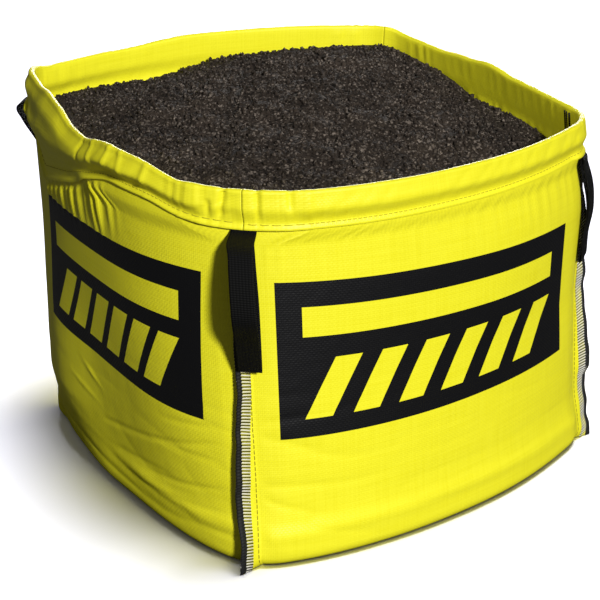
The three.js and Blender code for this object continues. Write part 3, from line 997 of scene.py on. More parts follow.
@dataclass(frozen=True)
class WallGrid:
    """A wall of cloth as a grid of points, from the hem's sewn edge over the rim and down to the floor.

    The left hem is a table of places along the cloth and depths. The left wall has settled at its
    back, out and then in, each as a distance and the drops between which it grows. The front and left
    walls' cloth has slipped down, and the slip's ends are the drops where it fades.
    """

    shape: BagShape
    side: Side
    step: float
    fold_rows: int = 9
    roll_rows: int = 8
    middle_share: float = 0.88
    hem_step: float = 0.8
    seam_columns: int = 6
    left_hem: tuple[Pair, ...] = (
        (0.0, 0.056), (0.030, 0.056), (0.140, 0.178), (0.420, 0.088), (0.550, 0.050), (0.680, 0.050),
        (0.800, 0.072),
    )
    hem_ease: float = 0.025
    hem_samples: int = 7
    back_hem: Pair = (0.12, 0.02)
    hem_fullness: float = 0.012
    full_depth: Swell = Swell(1.0, 0.006, 0.028, 0.040, 0.085)
    loop_band: Pair = (0.034, 0.070)
    settled: Swell = Swell(1.0, 0.0, 0.06, 0.14, 0.36)
    settled_out: Triple = (0.011, 0.25, 0.50)
    settled_in: Triple = (0.028, 0.58, 0.71)
    slip_ends: Triple = (0.20, 0.45, 0.65)
    front_slip: Triple = (0.025, 0.05, 0.69)
    left_slip: Pair = (0.042, -0.003)
    left_slip_run: Pair = (0.725, 0.60)
    left_slip_most: float = 1.1
    left_slip_power: float = 1.6

    def stations(self) -> list[Station]:
        """Lays out the stations across the wall.

        Returns:
            The stations from its start seam to its end seam, close together round its corners.
        """
        middle = round(self.shape.span * self.middle_share / self.step)
        first, last = (CORNERS[(self.side + k) % 4].columns for k in (0, 1))
        start = [Station(Zone.START, t) for t in np.linspace(0.5, 0.0, first, endpoint=False)]
        sides = [Station(Zone.MIDDLE, s) for s in np.linspace(0.0, 1.0, middle + 1)]
        end = [Station(Zone.END, t) for t in np.linspace(1.0, 0.5, last + 1)[1:]]
        return [*start, *sides, *end]

    def rows(self) -> Rows:
        """The rows of the wall.

        Returns:
            For each row its layer, from the hem's outer layer to the rolled bottom edge, its drop
            below the rim, its fold angle over the rim and its roll angle at the bottom edge.
        """
        shape = self.shape
        hem = np.arange(shape.hem_depth, shape.hem_fold / 2, -self.hem_step * self.step)
        fold = np.linspace(math.pi, 0.0, self.fold_rows)
        inner = np.arange(shape.hem_fold / 2, shape.wall_height, self.step)[1:]
        roll = np.linspace(math.pi / 2, 0.0, self.roll_rows)
        top = np.full(len(fold), shape.hem_fold / 2)
        counts = [len(hem), len(fold), len(inner), len(roll)]
        return {
            "layer": np.repeat([Layer.HEM, Layer.RIM, Layer.WALL, Layer.FOOT], counts),
            "drop": np.concatenate([hem, top, inner, np.full(len(roll), shape.wall_height)]),
            "fold": np.concatenate([np.full(counts[0], math.pi), fold, np.zeros(counts[2] + counts[3])]),
            "roll": np.concatenate([np.full(sum(counts[:3]), math.pi / 2), roll]),
        }

    def hem_depth(self, u: Array) -> Array:
        """The hem's depth, which on the left wall sags towards the back.

        Args:
            u: Distance along the cloth.

        Returns:
            The depth at each place.
        """
        depth = np.full(len(u), self.shape.hem_depth)
        if self.side is Side.LEFT:
            places, depths = zip(*self.left_hem)
            spread = np.linspace(-self.hem_ease, self.hem_ease, self.hem_samples)
            depth = np.mean([np.interp(u + shift, places, depths) for shift in spread], axis=0)
        if self.side is Side.BACK:
            starts, ends = (u[-1] - place for place in self.back_hem)
            depth = mix(depth, self.left_hem[0][1], smooth(u, starts, ends))
        return depth

    def rim_lift(self, u: Array) -> Array:
        """Returns how far the rim is pushed up or has dropped along the cloth, with its kinks."""
        return sum((swell.at(u) for swell in RIM_SWELLS.get(self.side, ())), np.zeros(len(u)))

    def settle(self, u: Array, drop: Array) -> Array:
        """How far the left wall has settled out at the back and in at its foot.

        Args:
            u: Distance along the cloth.
            drop: Distance below the rim.

        Returns:
            The distance out of the plain wall.
        """
        if self.side is not Side.LEFT:
            return np.zeros(drop.shape)
        (out, *out_ends), (back, *back_ends) = self.settled_out, self.settled_in
        return self.settled.at(u) * (out * smooth(drop, *out_ends) - back * smooth(drop, *back_ends))

    def slump(self, u: Array, drop: Array) -> Array:
        """How far the front and left walls' cloth has slipped down away from the strap.

        Args:
            u: Distance along the cloth.
            drop: Distance below the rim.

        Returns:
            The distance that the cloth has slipped.
        """
        top, middle, low = self.slip_ends
        faded = smooth(drop, top, middle)
        if self.side is Side.FRONT:
            most, start, length = self.front_slip
            return most * np.clip((u - start) / length, 0.0, 1.0) * (1 - faded)
        if self.side is not Side.LEFT:
            return np.zeros(drop.shape)
        high = mix(*self.left_slip, faded) * (1 - smooth(drop, middle, low))
        start, length = self.left_slip_run
        return high * np.clip((start - u) / length, 0.0, self.left_slip_most) ** self.left_slip_power

    def stand(self, drop: Array, depth: Array, u: Array) -> Array:
        """How far the hem's outer layer stands off the wall, wider where webbing passes under it.

        Args:
            drop: Distance below the rim.
            depth: The hem's depth.
            u: Distance along the cloth.

        Returns:
            The distance off the wall.
        """
        shape = self.shape
        from_corner = np.minimum(u, u[-1] - u)
        plain = shape.cloth + shape.clearance
        room = mix(shape.loop_room(), plain, smooth(from_corner, *self.loop_band))
        share = (drop - shape.hem_fold / 2) / (depth - shape.hem_fold / 2)
        sewn = 1 - shape.hem_stitch_inset / depth
        full = np.zeros(len(u))
        if self.side is Side.LEFT:
            full = self.hem_fullness * mix(0.5, 1.0, smooth(u, 0.05, 0.20)) * (1 - smooth(u, 0.58, 0.76))
        if self.side is Side.BACK:
            full = 0.5 * self.hem_fullness * smooth(u, u[-1] - 0.16, u[-1] - 0.04)
        full = full * self.full_depth.at(drop)
        puff = mix(shape.hem_fold, shape.hem_puff, smooth(share, 0.0, 0.5)) + full
        held = mix(puff, room, smooth(share / sewn, 0.45, 1.0))
        return held + shape.hem_flare * smooth(share, sewn, 1.0)

    def build(self) -> "WallSheet":
        """Works the wall out.

        Returns:
            The wall's points, places on the cloth and faces, with its seam allowances.
        """
        shape, rows, stations = self.shape, self.rows(), self.stations()
        layer = rows["layer"]
        level = shape.at_drop(rows["drop"])
        plain = np.stack([shape.ring(self.side, station, level)[0] for station in stations], axis=1)
        along = np.linalg.norm(np.diff(plain[layer == Layer.WALL], axis=1), axis=-1).mean(axis=0)
        u = run_of(along)
        depth = self.hem_depth(u)
        fold = shape.hem_fold / 2
        share = (rows["drop"] - fold) / (shape.hem_depth - fold)
        hem = (layer == Layer.HEM)[:, None]
        drop = np.where(hem, fold + share[:, None] * (depth - fold), rows["drop"][:, None])
        pairs = [shape.ring(self.side, s, shape.at_drop(drop[:, c])) for c, s in enumerate(stations)]
        p = np.stack([pair[0] for pair in pairs], axis=1)
        out = np.stack([pair[1] for pair in pairs], axis=1)
        away = np.where(hem, self.stand(drop, depth, u), self.settle(u, drop))
        over = layer == Layer.RIM
        away[over] = fold * (1 - np.cos(rows["fold"][over]))[:, None]
        away -= shape.bottom_radius * (1 - np.sin(rows["roll"]))[:, None]
        rise = np.where(over, fold * np.sin(rows["fold"]), 0.0)
        rise = rise - (shape.bottom_radius - shape.cloth / 2) * np.cos(rows["roll"])
        crumple = Crumple(self.side).away(u, depth, drop, rows)
        lean = np.where(over, -np.cos(rows["fold"]), 1.0)[:, None]
        p = p + (away + lean * crumple)[..., None] * out
        p[..., 2] += rise[:, None] + np.where(over, np.sin(rows["fold"]), 0.0)[:, None] * crumple
        p[..., 2] += self.rim_lift(u) * (1 - smooth(drop / depth, 0.10, 1.0))
        v = run_of(np.linalg.norm(np.diff(p, axis=0), axis=-1).mean(axis=1))
        v = v[np.argmax(rows["roll"] < math.pi / 2)] - v
        places = np.stack(np.meshgrid(u, v), -1)
        places[..., 1] += np.where(layer >= Layer.WALL, 1.0, 0.0)[:, None] * self.slump(u, drop)
        size = p.shape[:2]
        sheet = WallSheet(p.reshape(-1, 3), places.reshape(-1, 2), grid_faces(*size), size, u, rows)
        for end in (0, 1):
            self.add_seam(sheet, end, v)
        return sheet

    def add_seam(self, sheet: "WallSheet", end: int, v: Array) -> None:
        """Turns one end of the wall outwards along its corner seam.

        Args:
            sheet: The wall, which gains the seam allowance.
            end: 0 for the wall's start, 1 for its end.
            v: Each row's place up the cloth.
        """
        shape, rows = self.shape, sheet.rows
        seam = Seam(shape, (self.side + end) % 4)
        frame_rows = seam.rows(shape.at_drop(rows["drop"]), rows["roll"])
        on_seam = (rows["drop"] > shape.hem_depth + 0.25 * seam.grow) & (rows["layer"] >= Layer.WALL)
        inwards = 1 - 2 * end
        aside = np.where(on_seam, (shape.cloth + shape.clearance) / 2, shape.clearance) * inwards
        columns = sheet.size[1]
        column = end * (columns - 1)
        edge_points = sheet.grid()[:, column]
        below = rows["layer"] >= Layer.WALL
        edge_points[below] = seam.point(frame_rows, 0.0, aside)[below]
        edge_points[~below] += inwards * shape.clearance * shape.diagonal(seam.corner)[1]
        first = int(np.argmax(on_seam))
        count = len(v) - first
        start = len(sheet.points)
        reaches = np.linspace(0.0, 1.0, self.seam_columns + 1)[1:]
        strip = [seam.point(frame_rows, reach, aside)[first:] for reach in reaches]
        sheet.points = np.concatenate([sheet.points, np.stack(strip, axis=1).reshape(-1, 3)])
        beside = column / max(column, 1) * sheet.u[-1] - inwards * reaches * shape.seam_allowance
        places = np.stack(np.meshgrid(beside, v[first:]), -1).reshape(-1, 2)
        sheet.places = np.concatenate([sheet.places, places])
        faces = grid_faces(count, self.seam_columns, start)
        for r in range(count - 1):
            edge = (first + r) * columns + column
            near = start + r * self.seam_columns
            faces.append((edge, edge + columns, near + self.seam_columns, near))
        sheet.faces += faces if end == 1 else [face[::-1] for face in faces]


@dataclass
class WallSheet:
    """A wall's cloth: points, places on the cloth, faces, and its grid's size and measures."""

    points: Array
    places: Array
    faces: list
    size: tuple[int, int]
    u: Array
    rows: Rows

    def grid(self) -> Array:
        """Returns the wall's own grid, without its seam allowances."""
        rows, columns = self.size
        return self.points[: rows * columns].reshape(rows, columns, 3)


@dataclass(frozen=True)
class Crease:
    """A sharp upright crease in the hem near the front left corner.

    It has a distance from that corner, the shares of the hem's depth where it starts and ends, a depth,
    which is negative where it stands out, a half width and how far it leans over the hem's depth.
    """

    side: Side
    from_corner: float
    start: float
    end: float
    depth: float
    width: float
    lean: float = 0.0


HEM_CREASES = (
    Crease(Side.LEFT, 0.021, 0.0, 1.0, 0.0066, 0.0030, 0.006),
    Crease(Side.LEFT, 0.034, 0.35, 1.0, 0.0056, 0.0028, 0.003),
    Crease(Side.LEFT, 0.050, 0.0, 1.0, -0.0050, 0.0100, 0.0),
    Crease(Side.LEFT, 0.150, 0.1, 1.0, -0.0034, 0.0060, 0.012),
    Crease(Side.LEFT, 0.212, 0.0, 0.8, -0.0026, 0.0060, -0.020),
    Crease(Side.LEFT, 0.262, 0.0, 0.9, -0.0030, 0.0060, 0.016),
    Crease(Side.LEFT, 0.318, 0.0, 0.7, -0.0026, 0.0060, -0.010),
    Crease(Side.LEFT, 0.372, 0.0, 0.6, 0.0030, 0.0060, 0.008),
    Crease(Side.FRONT, 0.014, 0.0, 1.0, 0.0056, 0.0028, 0.001),
    Crease(Side.FRONT, 0.030, 0.0, 1.0, -0.0014, 0.0060, 0.0),
    Crease(Side.FRONT, 0.043, 0.0, 0.45, 0.0044, 0.0030, 0.0),
    Crease(Side.FRONT, 0.056, 0.1, 1.0, -0.0020, 0.0080, 0.0),
)


@dataclass(frozen=True)
class WallCrease:
    """A long crease in the left wall, from one place to another, as distances along and down.

    Its depth is negative where it stands out.
    """

    start: Pair
    end: Pair
    depth: float
    width: float = 0.0055
    sag: float = 0.0


WALL_CREASES = (
    WallCrease((0.345, 0.590), (0.740, 0.493), 0.0024, sag=0.006),
    WallCrease((0.375, 0.634), (0.600, 0.602), 0.0018),
    WallCrease((0.510, 0.626), (0.750, 0.583), 0.0026, sag=0.004),
    WallCrease((0.600, 0.482), (0.740, 0.462), 0.0018),
    WallCrease((0.560, 0.540), (0.745, 0.530), 0.0014),
    WallCrease((0.500, 0.660), (0.745, 0.632), 0.0018),
    WallCrease((0.285, 0.492), (0.350, 0.520), -0.0024),
    WallCrease((0.225, 0.535), (0.330, 0.560), -0.0014),
)


@dataclass(frozen=True)
class FoldSizes:
    """How far a wall's broad folds, level creases, pleats and the roll just over the floor stand out.

    The roll's place is its drop, how far that wanders, and its half width.
    """

    broad: float = 0.0022
    level: float = 0.0025
    pleats: float = 0.0035
    roll: float = 0.0
    roll_place: Triple = (0.660, 0.010, 0.015)


FOLD_SIZES = {
    Side.FRONT: FoldSizes(0.0018, 0.0026, 0.0014, 0.0035, (0.664, 0.008, 0.016)),
    Side.LEFT: FoldSizes(0.0014, 0.0016, 0.0095, 0.0050, (0.650, 0.010, 0.013)),
}


@dataclass(frozen=True)
class Crumple:
    """The cloth's own folds and creases on one wall, as distances straight out of it.

    A cell is the size of a fold along the cloth and down it.
    """

    side: Side
    seeds: tuple[int, int, int] = (10, 20, 30)
    broad_cell: Pair = (0.21, 0.24)
    level_cell: Pair = (0.36, 0.070)
    level_lean: float = 0.10
    level_ends: Pair = (0.33, 0.50)
    foot_cell: Pair = (0.45, 0.030)
    foot_depth: float = 0.0024
    inside_depth: Pair = (0.0010, 0.0034)
    pleat_pitch: float = 0.033
    pleat_power: float = 1.6
    left_pleats: Swell = Swell(1.0, 0.10, 0.18, 0.46, 0.57)
    crease_ends: Pair = (-0.020, 0.040)
    hem_gather: float = 0.0026
    hem_broad: float = 0.0022
    hem_crinkle: float = 0.0028
    hem_crease_end: float = 0.1

    def away(self, u: Array, depth: Array, drop: Array, rows: Rows) -> Array:
        """The folds over a wall's grid.

        Args:
            u: Distance along the cloth of each column.
            depth: The hem's depth at each column.
            drop: Distance below the rim at each row and column.
            rows: The wall's rows.

        Returns:
            The distance out at each row and column.
        """
        layer = rows["layer"][:, None]
        edge = smooth(np.minimum(u, u[-1] - u), 0.0, 0.030)
        foot = smooth(rows["roll"], 0.0, 1.2)[:, None]
        wall = edge * foot * self.wall_folds(u, depth, drop)
        turn = ((1 - np.cos(rows["fold"])) / 2)[:, None]
        return np.where(layer >= Layer.WALL, wall, turn * self.hem_folds(u, depth, drop))

    def wall_folds(self, u: Array, depth: Array, drop: Array) -> Array:
        """The folds of the wall below the hem.

        Args:
            u: Distance along the cloth.
            depth: The hem's depth.
            drop: Distance below the rim.

        Returns:
            The distance out, which is negative in a crease.
        """
        noise = Noise(self.seeds[0] + self.side)
        under = drop - depth
        broad = noise(u / self.broad_cell[0], drop / self.broad_cell[1])
        reach = mix(0.050, 0.120, smooth(u, 0.15, 0.45)) if self.side is Side.LEFT else 0.130
        hang = drop if self.side is not Side.LEFT else 0.15 * drop
        gather = self.pleats(u, hang) * smooth(under, 0.0, 0.015) * (1 - smooth(under / reach, 0.25, 1.0))
        leaning = (drop - self.level_lean * u) / self.level_cell[1]
        level = noise.ridge(u / self.level_cell[0] + 3.7, leaning, 6.0) * smooth(drop, *self.level_ends)
        free = smooth(under, 0.03, 0.09)
        from_corner = np.minimum(u, u[-1] - u)
        near_corner = 1 - smooth(from_corner, 0.06, 0.20)
        inside = -self.pleats(u, 0.3 * drop) * (1 - smooth(drop, 0.03, 0.07))
        inside = mix(*self.inside_depth, near_corner) * smooth(from_corner, 0.030, 0.060) * inside
        size = FOLD_SIZES.get(self.side, FoldSizes())
        place, wander, width = size.roll_place
        roll = np.exp(-(((drop - place - wander * noise(u / 0.15 + 2.2, 0.5)) / width) ** 2))
        near_seam = pleated = 1.0
        foot = creases = 0.0
        if self.side is Side.FRONT:
            near_seam = mix(1.0, 0.25, smooth(u, 0.05, 0.30))
        if self.side is Side.LEFT:
            near_seam = mix(0.35, 1.0, smooth(u, 0.30, u[-1]))
            foot = noise.ridge(u / self.foot_cell[0] + 9.1, drop / self.foot_cell[1])
            foot = self.foot_depth * foot * smooth(drop, 0.62, 0.68)
            roll = roll * smooth(u, 0.35, 0.50)
            pleated = self.left_pleats.at(u)
            creases = self.wall_creases(u, drop)
        folds = size.broad * broad - size.level * level * near_seam - foot + size.roll * roll
        return free * folds + size.pleats * pleated * gather + inside - creases

    def wall_creases(self, u: Array, drop: Array) -> Array:
        """The long creases of the left wall.

        Args:
            u: Distance along the cloth.
            drop: Distance below the rim.

        Returns:
            How deep the creases are at each place.
        """
        deep = np.zeros(drop.shape)
        for crease in WALL_CREASES:
            (u0, drop0), (u1, drop1) = crease.start, crease.end
            share = (u - u0) / (u1 - u0)
            sag = crease.sag * np.clip(4 * share * (1 - share), 0.0, 1.0)
            off = drop - mix(drop0, drop1, share) - sag
            length = abs(u1 - u0)
            starts, stops = (smooth(part * length, *self.crease_ends) for part in (share, 1 - share))
            deep += crease.depth * starts * stops * np.exp(-((off / crease.width) ** 2))
        return deep

    def pleats(self, u: Array, drop: Array) -> Array:
        """Uneven upright pleats where spare cloth is gathered.

        Args:
            u: Distance along the cloth.
            drop: Distance below the rim.

        Returns:
            From 0 between the pleats to about 1 on a full pleat.
        """
        noise = Noise(self.seeds[2] + self.side)
        turn = u / self.pleat_pitch + 0.50 * noise(u / 0.060, drop / 0.60)
        size = 0.55 + 0.7 * noise(u / 0.075 + 4.4, drop / 0.30)
        return np.clip(size, 0.1, 1.0) * (0.5 + 0.5 * np.cos(2 * math.pi * turn)) ** self.pleat_power

    def hem_folds(self, u: Array, depth: Array, drop: Array) -> Array:
        """The folds of the hem's outer layer.

        Args:
            u: Distance along the cloth.
            depth: The hem's depth.
            drop: Distance below the rim.

        Returns:
            The distance out.
        """
        noise = Noise(self.seeds[1] + self.side)
        corner = np.minimum(u, u[-1] - u)
        gather = (noise.ridge(u / 0.020, drop / 0.30, 2.0) - 0.4) * (1 - smooth(corner, 0.05, 0.13))
        if self.side is Side.LEFT:
            gather = gather * smooth(u, 0.20, 0.40)
        if self.side is Side.BACK:
            gather = gather * (1 - smooth(u, u[-1] - 0.20, u[-1] - 0.10))
        crinkle = noise.ridge(u / 0.060 + 2.0 * drop / 0.09, drop / 0.16 + 5.0, 3.0)
        broad = noise(u / 0.13, drop / 0.2)
        sewn = (1 - 0.8 * smooth(drop - depth, -0.032, -0.010)) * smooth(corner, 0.0, 0.010)
        strength = mix(0.25, 0.85, smooth(u, 0.32, 0.56)) if self.side is Side.LEFT else 0.45
        uneven = self.hem_broad * broad - self.hem_crinkle * crinkle
        folds = self.hem_gather * gather + strength * uneven
        share = drop / depth
        for crease in HEM_CREASES:
            if crease.side is self.side:
                off = (u if self.side is Side.FRONT else u[-1] - u) - crease.from_corner
                across = (off - crease.lean * (share - 0.5)) / crease.width
                starts, stops = (
                    smooth(share, end - self.hem_crease_end, end + self.hem_crease_end)
                    for end in (crease.start, crease.end)
                )
                folds = folds - crease.depth * starts * (1 - stops) * np.exp(-(across**2))
        return sewn * folds


@dataclass
class ClothBag:
    """The sewn bag: one long cloth for front, floor and back, and a side panel at each end of it."""

    shape: BagShape
    finest: float = 0.0046
    fine: float = 0.0056
    coarse: float = 0.0084
    front_print: PrintField = PrintField(0.052, 0.721, 0.237, 0.541)
    left_print: PrintField = PrintField(0.150, 0.733, 0.266, 0.562, lean=0.055)
    cut_height: float = 0.90
    cut_width: float = 0.90
    cut_length: float = 2.50
    floor_rows: int = 26
    floor_fold: float = 0.05
    back_place: float = 2.0
    weld: float = 0.00005

    def build(self) -> None:
        cloth = WovenPolypropylene()
        steps = {Side.BACK: self.coarse, Side.LEFT: self.finest}
        walls = {
            side: WallGrid(self.shape, side, steps.get(side, self.fine)).build()
            for side in Side
        }
        long_panel = self.long_panel(walls)
        dress(long_panel, Slot.CLOTH, cloth.material("woven_polypropylene_front", self.front_print))
        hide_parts("long_panel", "printed_field_front")
        left = self.side_panel("panel_left", walls[Side.LEFT])
        dress(left, Slot.CLOTH, cloth.material("woven_polypropylene_left", self.left_print))
        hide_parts("side_panel_left", "printed_field_left")
        right = self.side_panel("panel_right", walls[Side.RIGHT])
        dress(right, Slot.CLOTH, cloth.material("woven_polypropylene"))
        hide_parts("side_panel_right")
        sewn = Sewing(self.shape).hem_stitches(walls)
        bound = Sewing(self.shape).loop_stitches(walls[Side.RIGHT])

    def thicken(self, piece: Piece) -> Piece:
        """Returns the piece with the cloth's thickness."""
        apply_modifier(piece, "SOLIDIFY", thickness=self.shape.cloth, offset=0.0)
        return piece

    def side_panel(self, name: str, wall: WallSheet) -> Piece:
        """Returns a side panel made of one wall."""
        return self.thicken(mesh_object(name, wall.points, wall.faces, wall.places))

    def long_panel(self, walls: dict[Side, WallSheet]) -> Piece:
        """Joins the front wall, the floor and the back wall into one cloth.

        Args:
            walls: The four walls.

        Returns:
            The long panel.
        """
        front, back = walls[Side.FRONT], walls[Side.BACK]
        low = front.grid()[-1]
        far = back.grid()[-1][::-1]
        far = sample(np.linspace(0.0, 1.0, len(low)), np.linspace(0.0, 1.0, len(far)), far)
        gap = self.shape.cloth + self.shape.clearance
        across = (low[:, 0] - low[0, 0]) / (low[-1, 0] - low[0, 0])
        rows = []
        for part in np.linspace(0.0, 1.0, self.floor_rows)[1:-1]:
            left, right = (
                walls[side].grid()[-1][round(place * (walls[side].size[1] - 1))]
                for side, place in ((Side.LEFT, 1 - part), (Side.RIGHT, part))
            )
            rows.append(mix(left + [gap, 0, 0], right - [gap, 0, 0], across[:, None]))
        floor = np.stack([low, *rows, far])
        floor[..., 2] = self.shape.cloth / 2
        count = len(front.points)
        deep = -self.floor_fold - np.linspace(0.0, self.shape.span, len(floor))
        floor_places = np.stack(np.meshgrid(front.u, deep), -1).reshape(-1, 2)
        floor_faces = grid_faces(*floor.shape[:2], count)
        after = count + floor[..., 0].size
        back_faces = [tuple(i + after for i in face) for face in back.faces]
        away_from_print = np.array([self.back_place, 0.0])
        points = np.concatenate([front.points, floor.reshape(-1, 3), back.points])
        uv = np.concatenate([front.places, floor_places, back.places + away_from_print])
        panel = mesh_object("panel_long", points, [*front.faces, *floor_faces, *back_faces], uv)
        apply_modifier(panel, "WELD", merge_threshold=self.weld)
        return self.thicken(panel)


@dataclass
class Sewing:
    """The thread: stitches along the hems and seams, and the overlock round each seam's raw edge.

    The stitch's lift is its height over the cloth along its length, in threads, and its flatness how
    much wider than high it lies. The binding is the overlock's way round the edge: shares of its
    reach, and the face of the seam that it lies on.
    """

    shape: BagShape
    stitch: float = 0.0085
    stitch_gap: float = 0.0025
    stitch_lift: tuple[float, ...] = (-0.6, 0.7, 1.0, 0.7, -0.6)
    stitch_flat: float = 1.3
    stitch_sides: int = 5
    thread: float = 0.0007
    hem_bare: float = 0.004
    seam_bare: Pair = (0.010, 0.012)
    seam_line: float = 0.004
    seam_rows: tuple[int, int] = (420, 8)
    under_hem: float = 0.020
    last_roll: float = 0.15
    loop_rows: tuple[float, ...] = (0.058, 0.067, 0.076)
    loop_drops: Pair = (0.012, 0.060)
    loop_points: int = 25
    loop_zigzag: float = 0.0022
    loop_depth: float = 0.12
    pair_pitch: float = 0.0064
    overlock_reach: float = 0.026
    overlock_most: float = 0.9
    overlock_bare: Pair = (0.004, 0.003)
    overlock_thread: float = 0.0011
    black_width: float = 0.0012
    white_width: float = 0.0015
    slant: float = 0.0060
    binding: tuple[tuple[float, int], ...] = (
        (1.0, 1), (0.5, 1), (0.0, 1), (-0.06, 0), (0.0, -1), (1.0, -1),
    )
    floor_gap: float = 0.0003
    chain_least: float = 0.010
    chain_gap: float = 0.0003
    chain_thick: Pair = (0.0011, 0.0017)
    chain_reach: Pair = (0.007, 0.010)
    chain_tip: Pair = (0.0006, 0.0024)
    chain_lump: float = 0.0015
    chain_widens: Pair = (0.30, 0.08)

    def stitch_row(
        self, line: Array, run: Array, ways: tuple, bare: Pair, off: float = 0.0
    ) -> list[Array]:
        """Lays one row of stitches on cloth.

        Args:
            line: The points that the row follows.
            run: The distance along it at each point.
            ways: At each point the way across the row and the way straight out of the cloth.
            bare: How much of the run is left bare at its start and at its end.
            off: How far the cloth's face lies out from the line.

        Returns:
            The points of each stitch, and its half widths across and out.
        """
        firsts = np.arange(bare[0], run[-1] - bare[1], self.stitch + self.stitch_gap)
        places = firsts[:, None] + np.linspace(0.0, self.stitch, len(self.stitch_lift))
        at, across, out = (sample(places, run, made) for made in (line, *ways))
        lift = self.thread * np.array(self.stitch_lift) + off
        return [at + lift[:, None] * out, across * self.thread * self.stitch_flat, out * self.thread]

    def sewn(self, name: str, rows: list, slot: Slot, thread: SewingThread, finish: str) -> Piece:
        """Makes one piece of rows of stitches.

        Args:
            name: The piece's name.
            rows: For each row its stitches' points and half widths.
            slot: The slot for its finish.
            thread: The thread.
            finish: The name of the thread's material.

        Returns:
            The dressed piece.
        """
        points, wide, high = (np.concatenate(parts) for parts in zip(*rows))
        made = mesh_object(name, *Tubes(points, wide, high, self.stitch_sides).mesh())
        return dress(made, slot, thread.material(finish))

    def hem_stitches(self, walls: dict[Side, WallSheet]) -> Piece:
        """Sews the hems.

        Args:
            walls: The four walls.

        Returns:
            The stitches of all four hems, as one piece.
        """
        made = []
        sewn = self.shape.hem_depth - self.shape.hem_stitch_inset
        for wall in walls.values():
            hem = np.flatnonzero(wall.rows["layer"] == Layer.HEM)
            line = wall.grid()[hem[np.argmin(np.abs(wall.rows["drop"][hem] - sewn))]]
            out = unit(np.cross(UP, np.gradient(line, axis=0)) * -1.0)
            ways = (np.broadcast_to(UP, line.shape), out)
            bare = (self.hem_bare, self.hem_bare + self.stitch)
            made.append(self.stitch_row(line, wall.u, ways, bare, self.shape.cloth / 2))
        return self.sewn("hem_stitches", made, Slot.CLOTH, SewingThread("#cfc41a"), "yellow_thread")

    def seam_stitches(self) -> Piece:
        """Sews the corner seams.

        Returns:
            The stitches down both faces of all four seams, as one piece.
        """
        made = []
        for corner in range(len(CORNERS)):
            seam = Seam(self.shape, corner)
            rows = seam.rows(*self.down_the_seam())
            share = self.seam_line / np.maximum(rows[3], self.seam_line)
            for face in (1, -1):
                line = seam.point(rows, share, face * (self.shape.cloth + self.shape.clearance / 2))
                ways = (rows[1], face * rows[2])
                made.append(self.stitch_row(line, run_along(line), ways, self.seam_bare))
        return self.sewn("seam_stitches", made, Slot.CLOTH, SewingThread("#a89e12"), "olive_thread")

    def loop_stitches(self, wall: WallSheet) -> Piece:
        """Sews the end of the front right loop through the right wall.

        Args:
            wall: The right wall, which starts at that corner.

        Returns:
            The zigzag rows of black thread that show inside the bag.
        """
        near = (wall.rows["layer"] == Layer.WALL) & (wall.rows["drop"] < self.loop_depth)
        drops, grid = wall.rows["drop"][near], wall.grid()[near]
        out = unit(np.cross(np.gradient(grid, axis=1), UP))
        down = np.linspace(*self.loop_drops, self.loop_points)
        zigzag = self.loop_zigzag * np.where(np.arange(len(down)) % 2 == 0, -1, 1)
        made = []
        for place in self.loop_rows:
            at, way = (
                np.array([
                    sample(d, drops, np.stack([sample(u, wall.u, row) for row in field]))
                    for u, d in zip(place + zigzag, down)
                ])[None]
                for field in (grid, out)
            )
            inside = at - (self.shape.cloth / 2 + self.overlock_thread * 0.6) * way
            wide = np.broadcast_to(UP * self.overlock_thread * 2.0, inside.shape)
            made.append([inside, wide, -way * self.overlock_thread])
        return self.sewn("loop_stitches", made, Slot.THREAD, SewingThread("#141415"), "black_loop_thread")

    def overlock(self, corner: int) -> Piece:
        """Binds one seam's raw edge.

        Args:
            corner: The corner's number.

        Returns:
            The stitches, black and white by turns, with the edge chain.
        """
        shape, seam, name = self.shape, Seam(self.shape, corner), CORNERS[corner].name
        rows = seam.rows(*self.down_the_seam())
        run = run_along(seam.point(rows, 1.0, 0.0))
        half = shape.cloth + 0.5 * shape.clearance + self.overlock_thread / 2
        first, last = self.overlock_bare
        marks = np.arange(first, run[-1] - last, self.pair_pitch / 2)
        reach = np.minimum(self.overlock_reach / rows[3], self.overlock_most)
        columns, directions = [], []
        for part, face in self.binding:
            line = seam.point(rows, 1 - part * reach, face * half)
            columns.append(sample(marks + self.slant * part, run, line))
            directions.append(unit(sample(marks, run, rows[2] * face if face else rows[1])))
        points, high = np.stack(columns, axis=1), np.stack(directions, axis=1)
        black = (np.arange(len(marks)) % 2 == 0)[:, None, None]
        wide = np.where(black, self.black_width, self.white_width) * np.broadcast_to(UP, points.shape)
        vertices, faces = Tubes(points, wide, high * self.overlock_thread * 0.5).mesh()
        vertices[:, 2] = np.maximum(vertices[:, 2], self.floor_gap)
        chain, chain_faces = self.edge_chain(seam, rows, run)
        chain_faces = [tuple(i + len(vertices) for i in face) for face in chain_faces]
        piece = mesh_object(
            f"overlock_stitches_{name}", np.concatenate([vertices, chain]), [*faces, *chain_faces]
        )
        number = np.zeros(len(piece.data.polygons), np.int32)
        number[: len(faces)] = np.repeat(np.arange(len(marks)) % 2, len(faces) // len(marks))
        piece.data.polygons.foreach_set("material_index", number)
        dress(
            piece, Slot.THREAD,
            SewingThread("#101011").material(f"black_thread_{name}"),
            SewingThread("#f3f0e2").material(f"white_thread_{name}"),
        )
        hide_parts(f"overlock_{name}")
        return piece

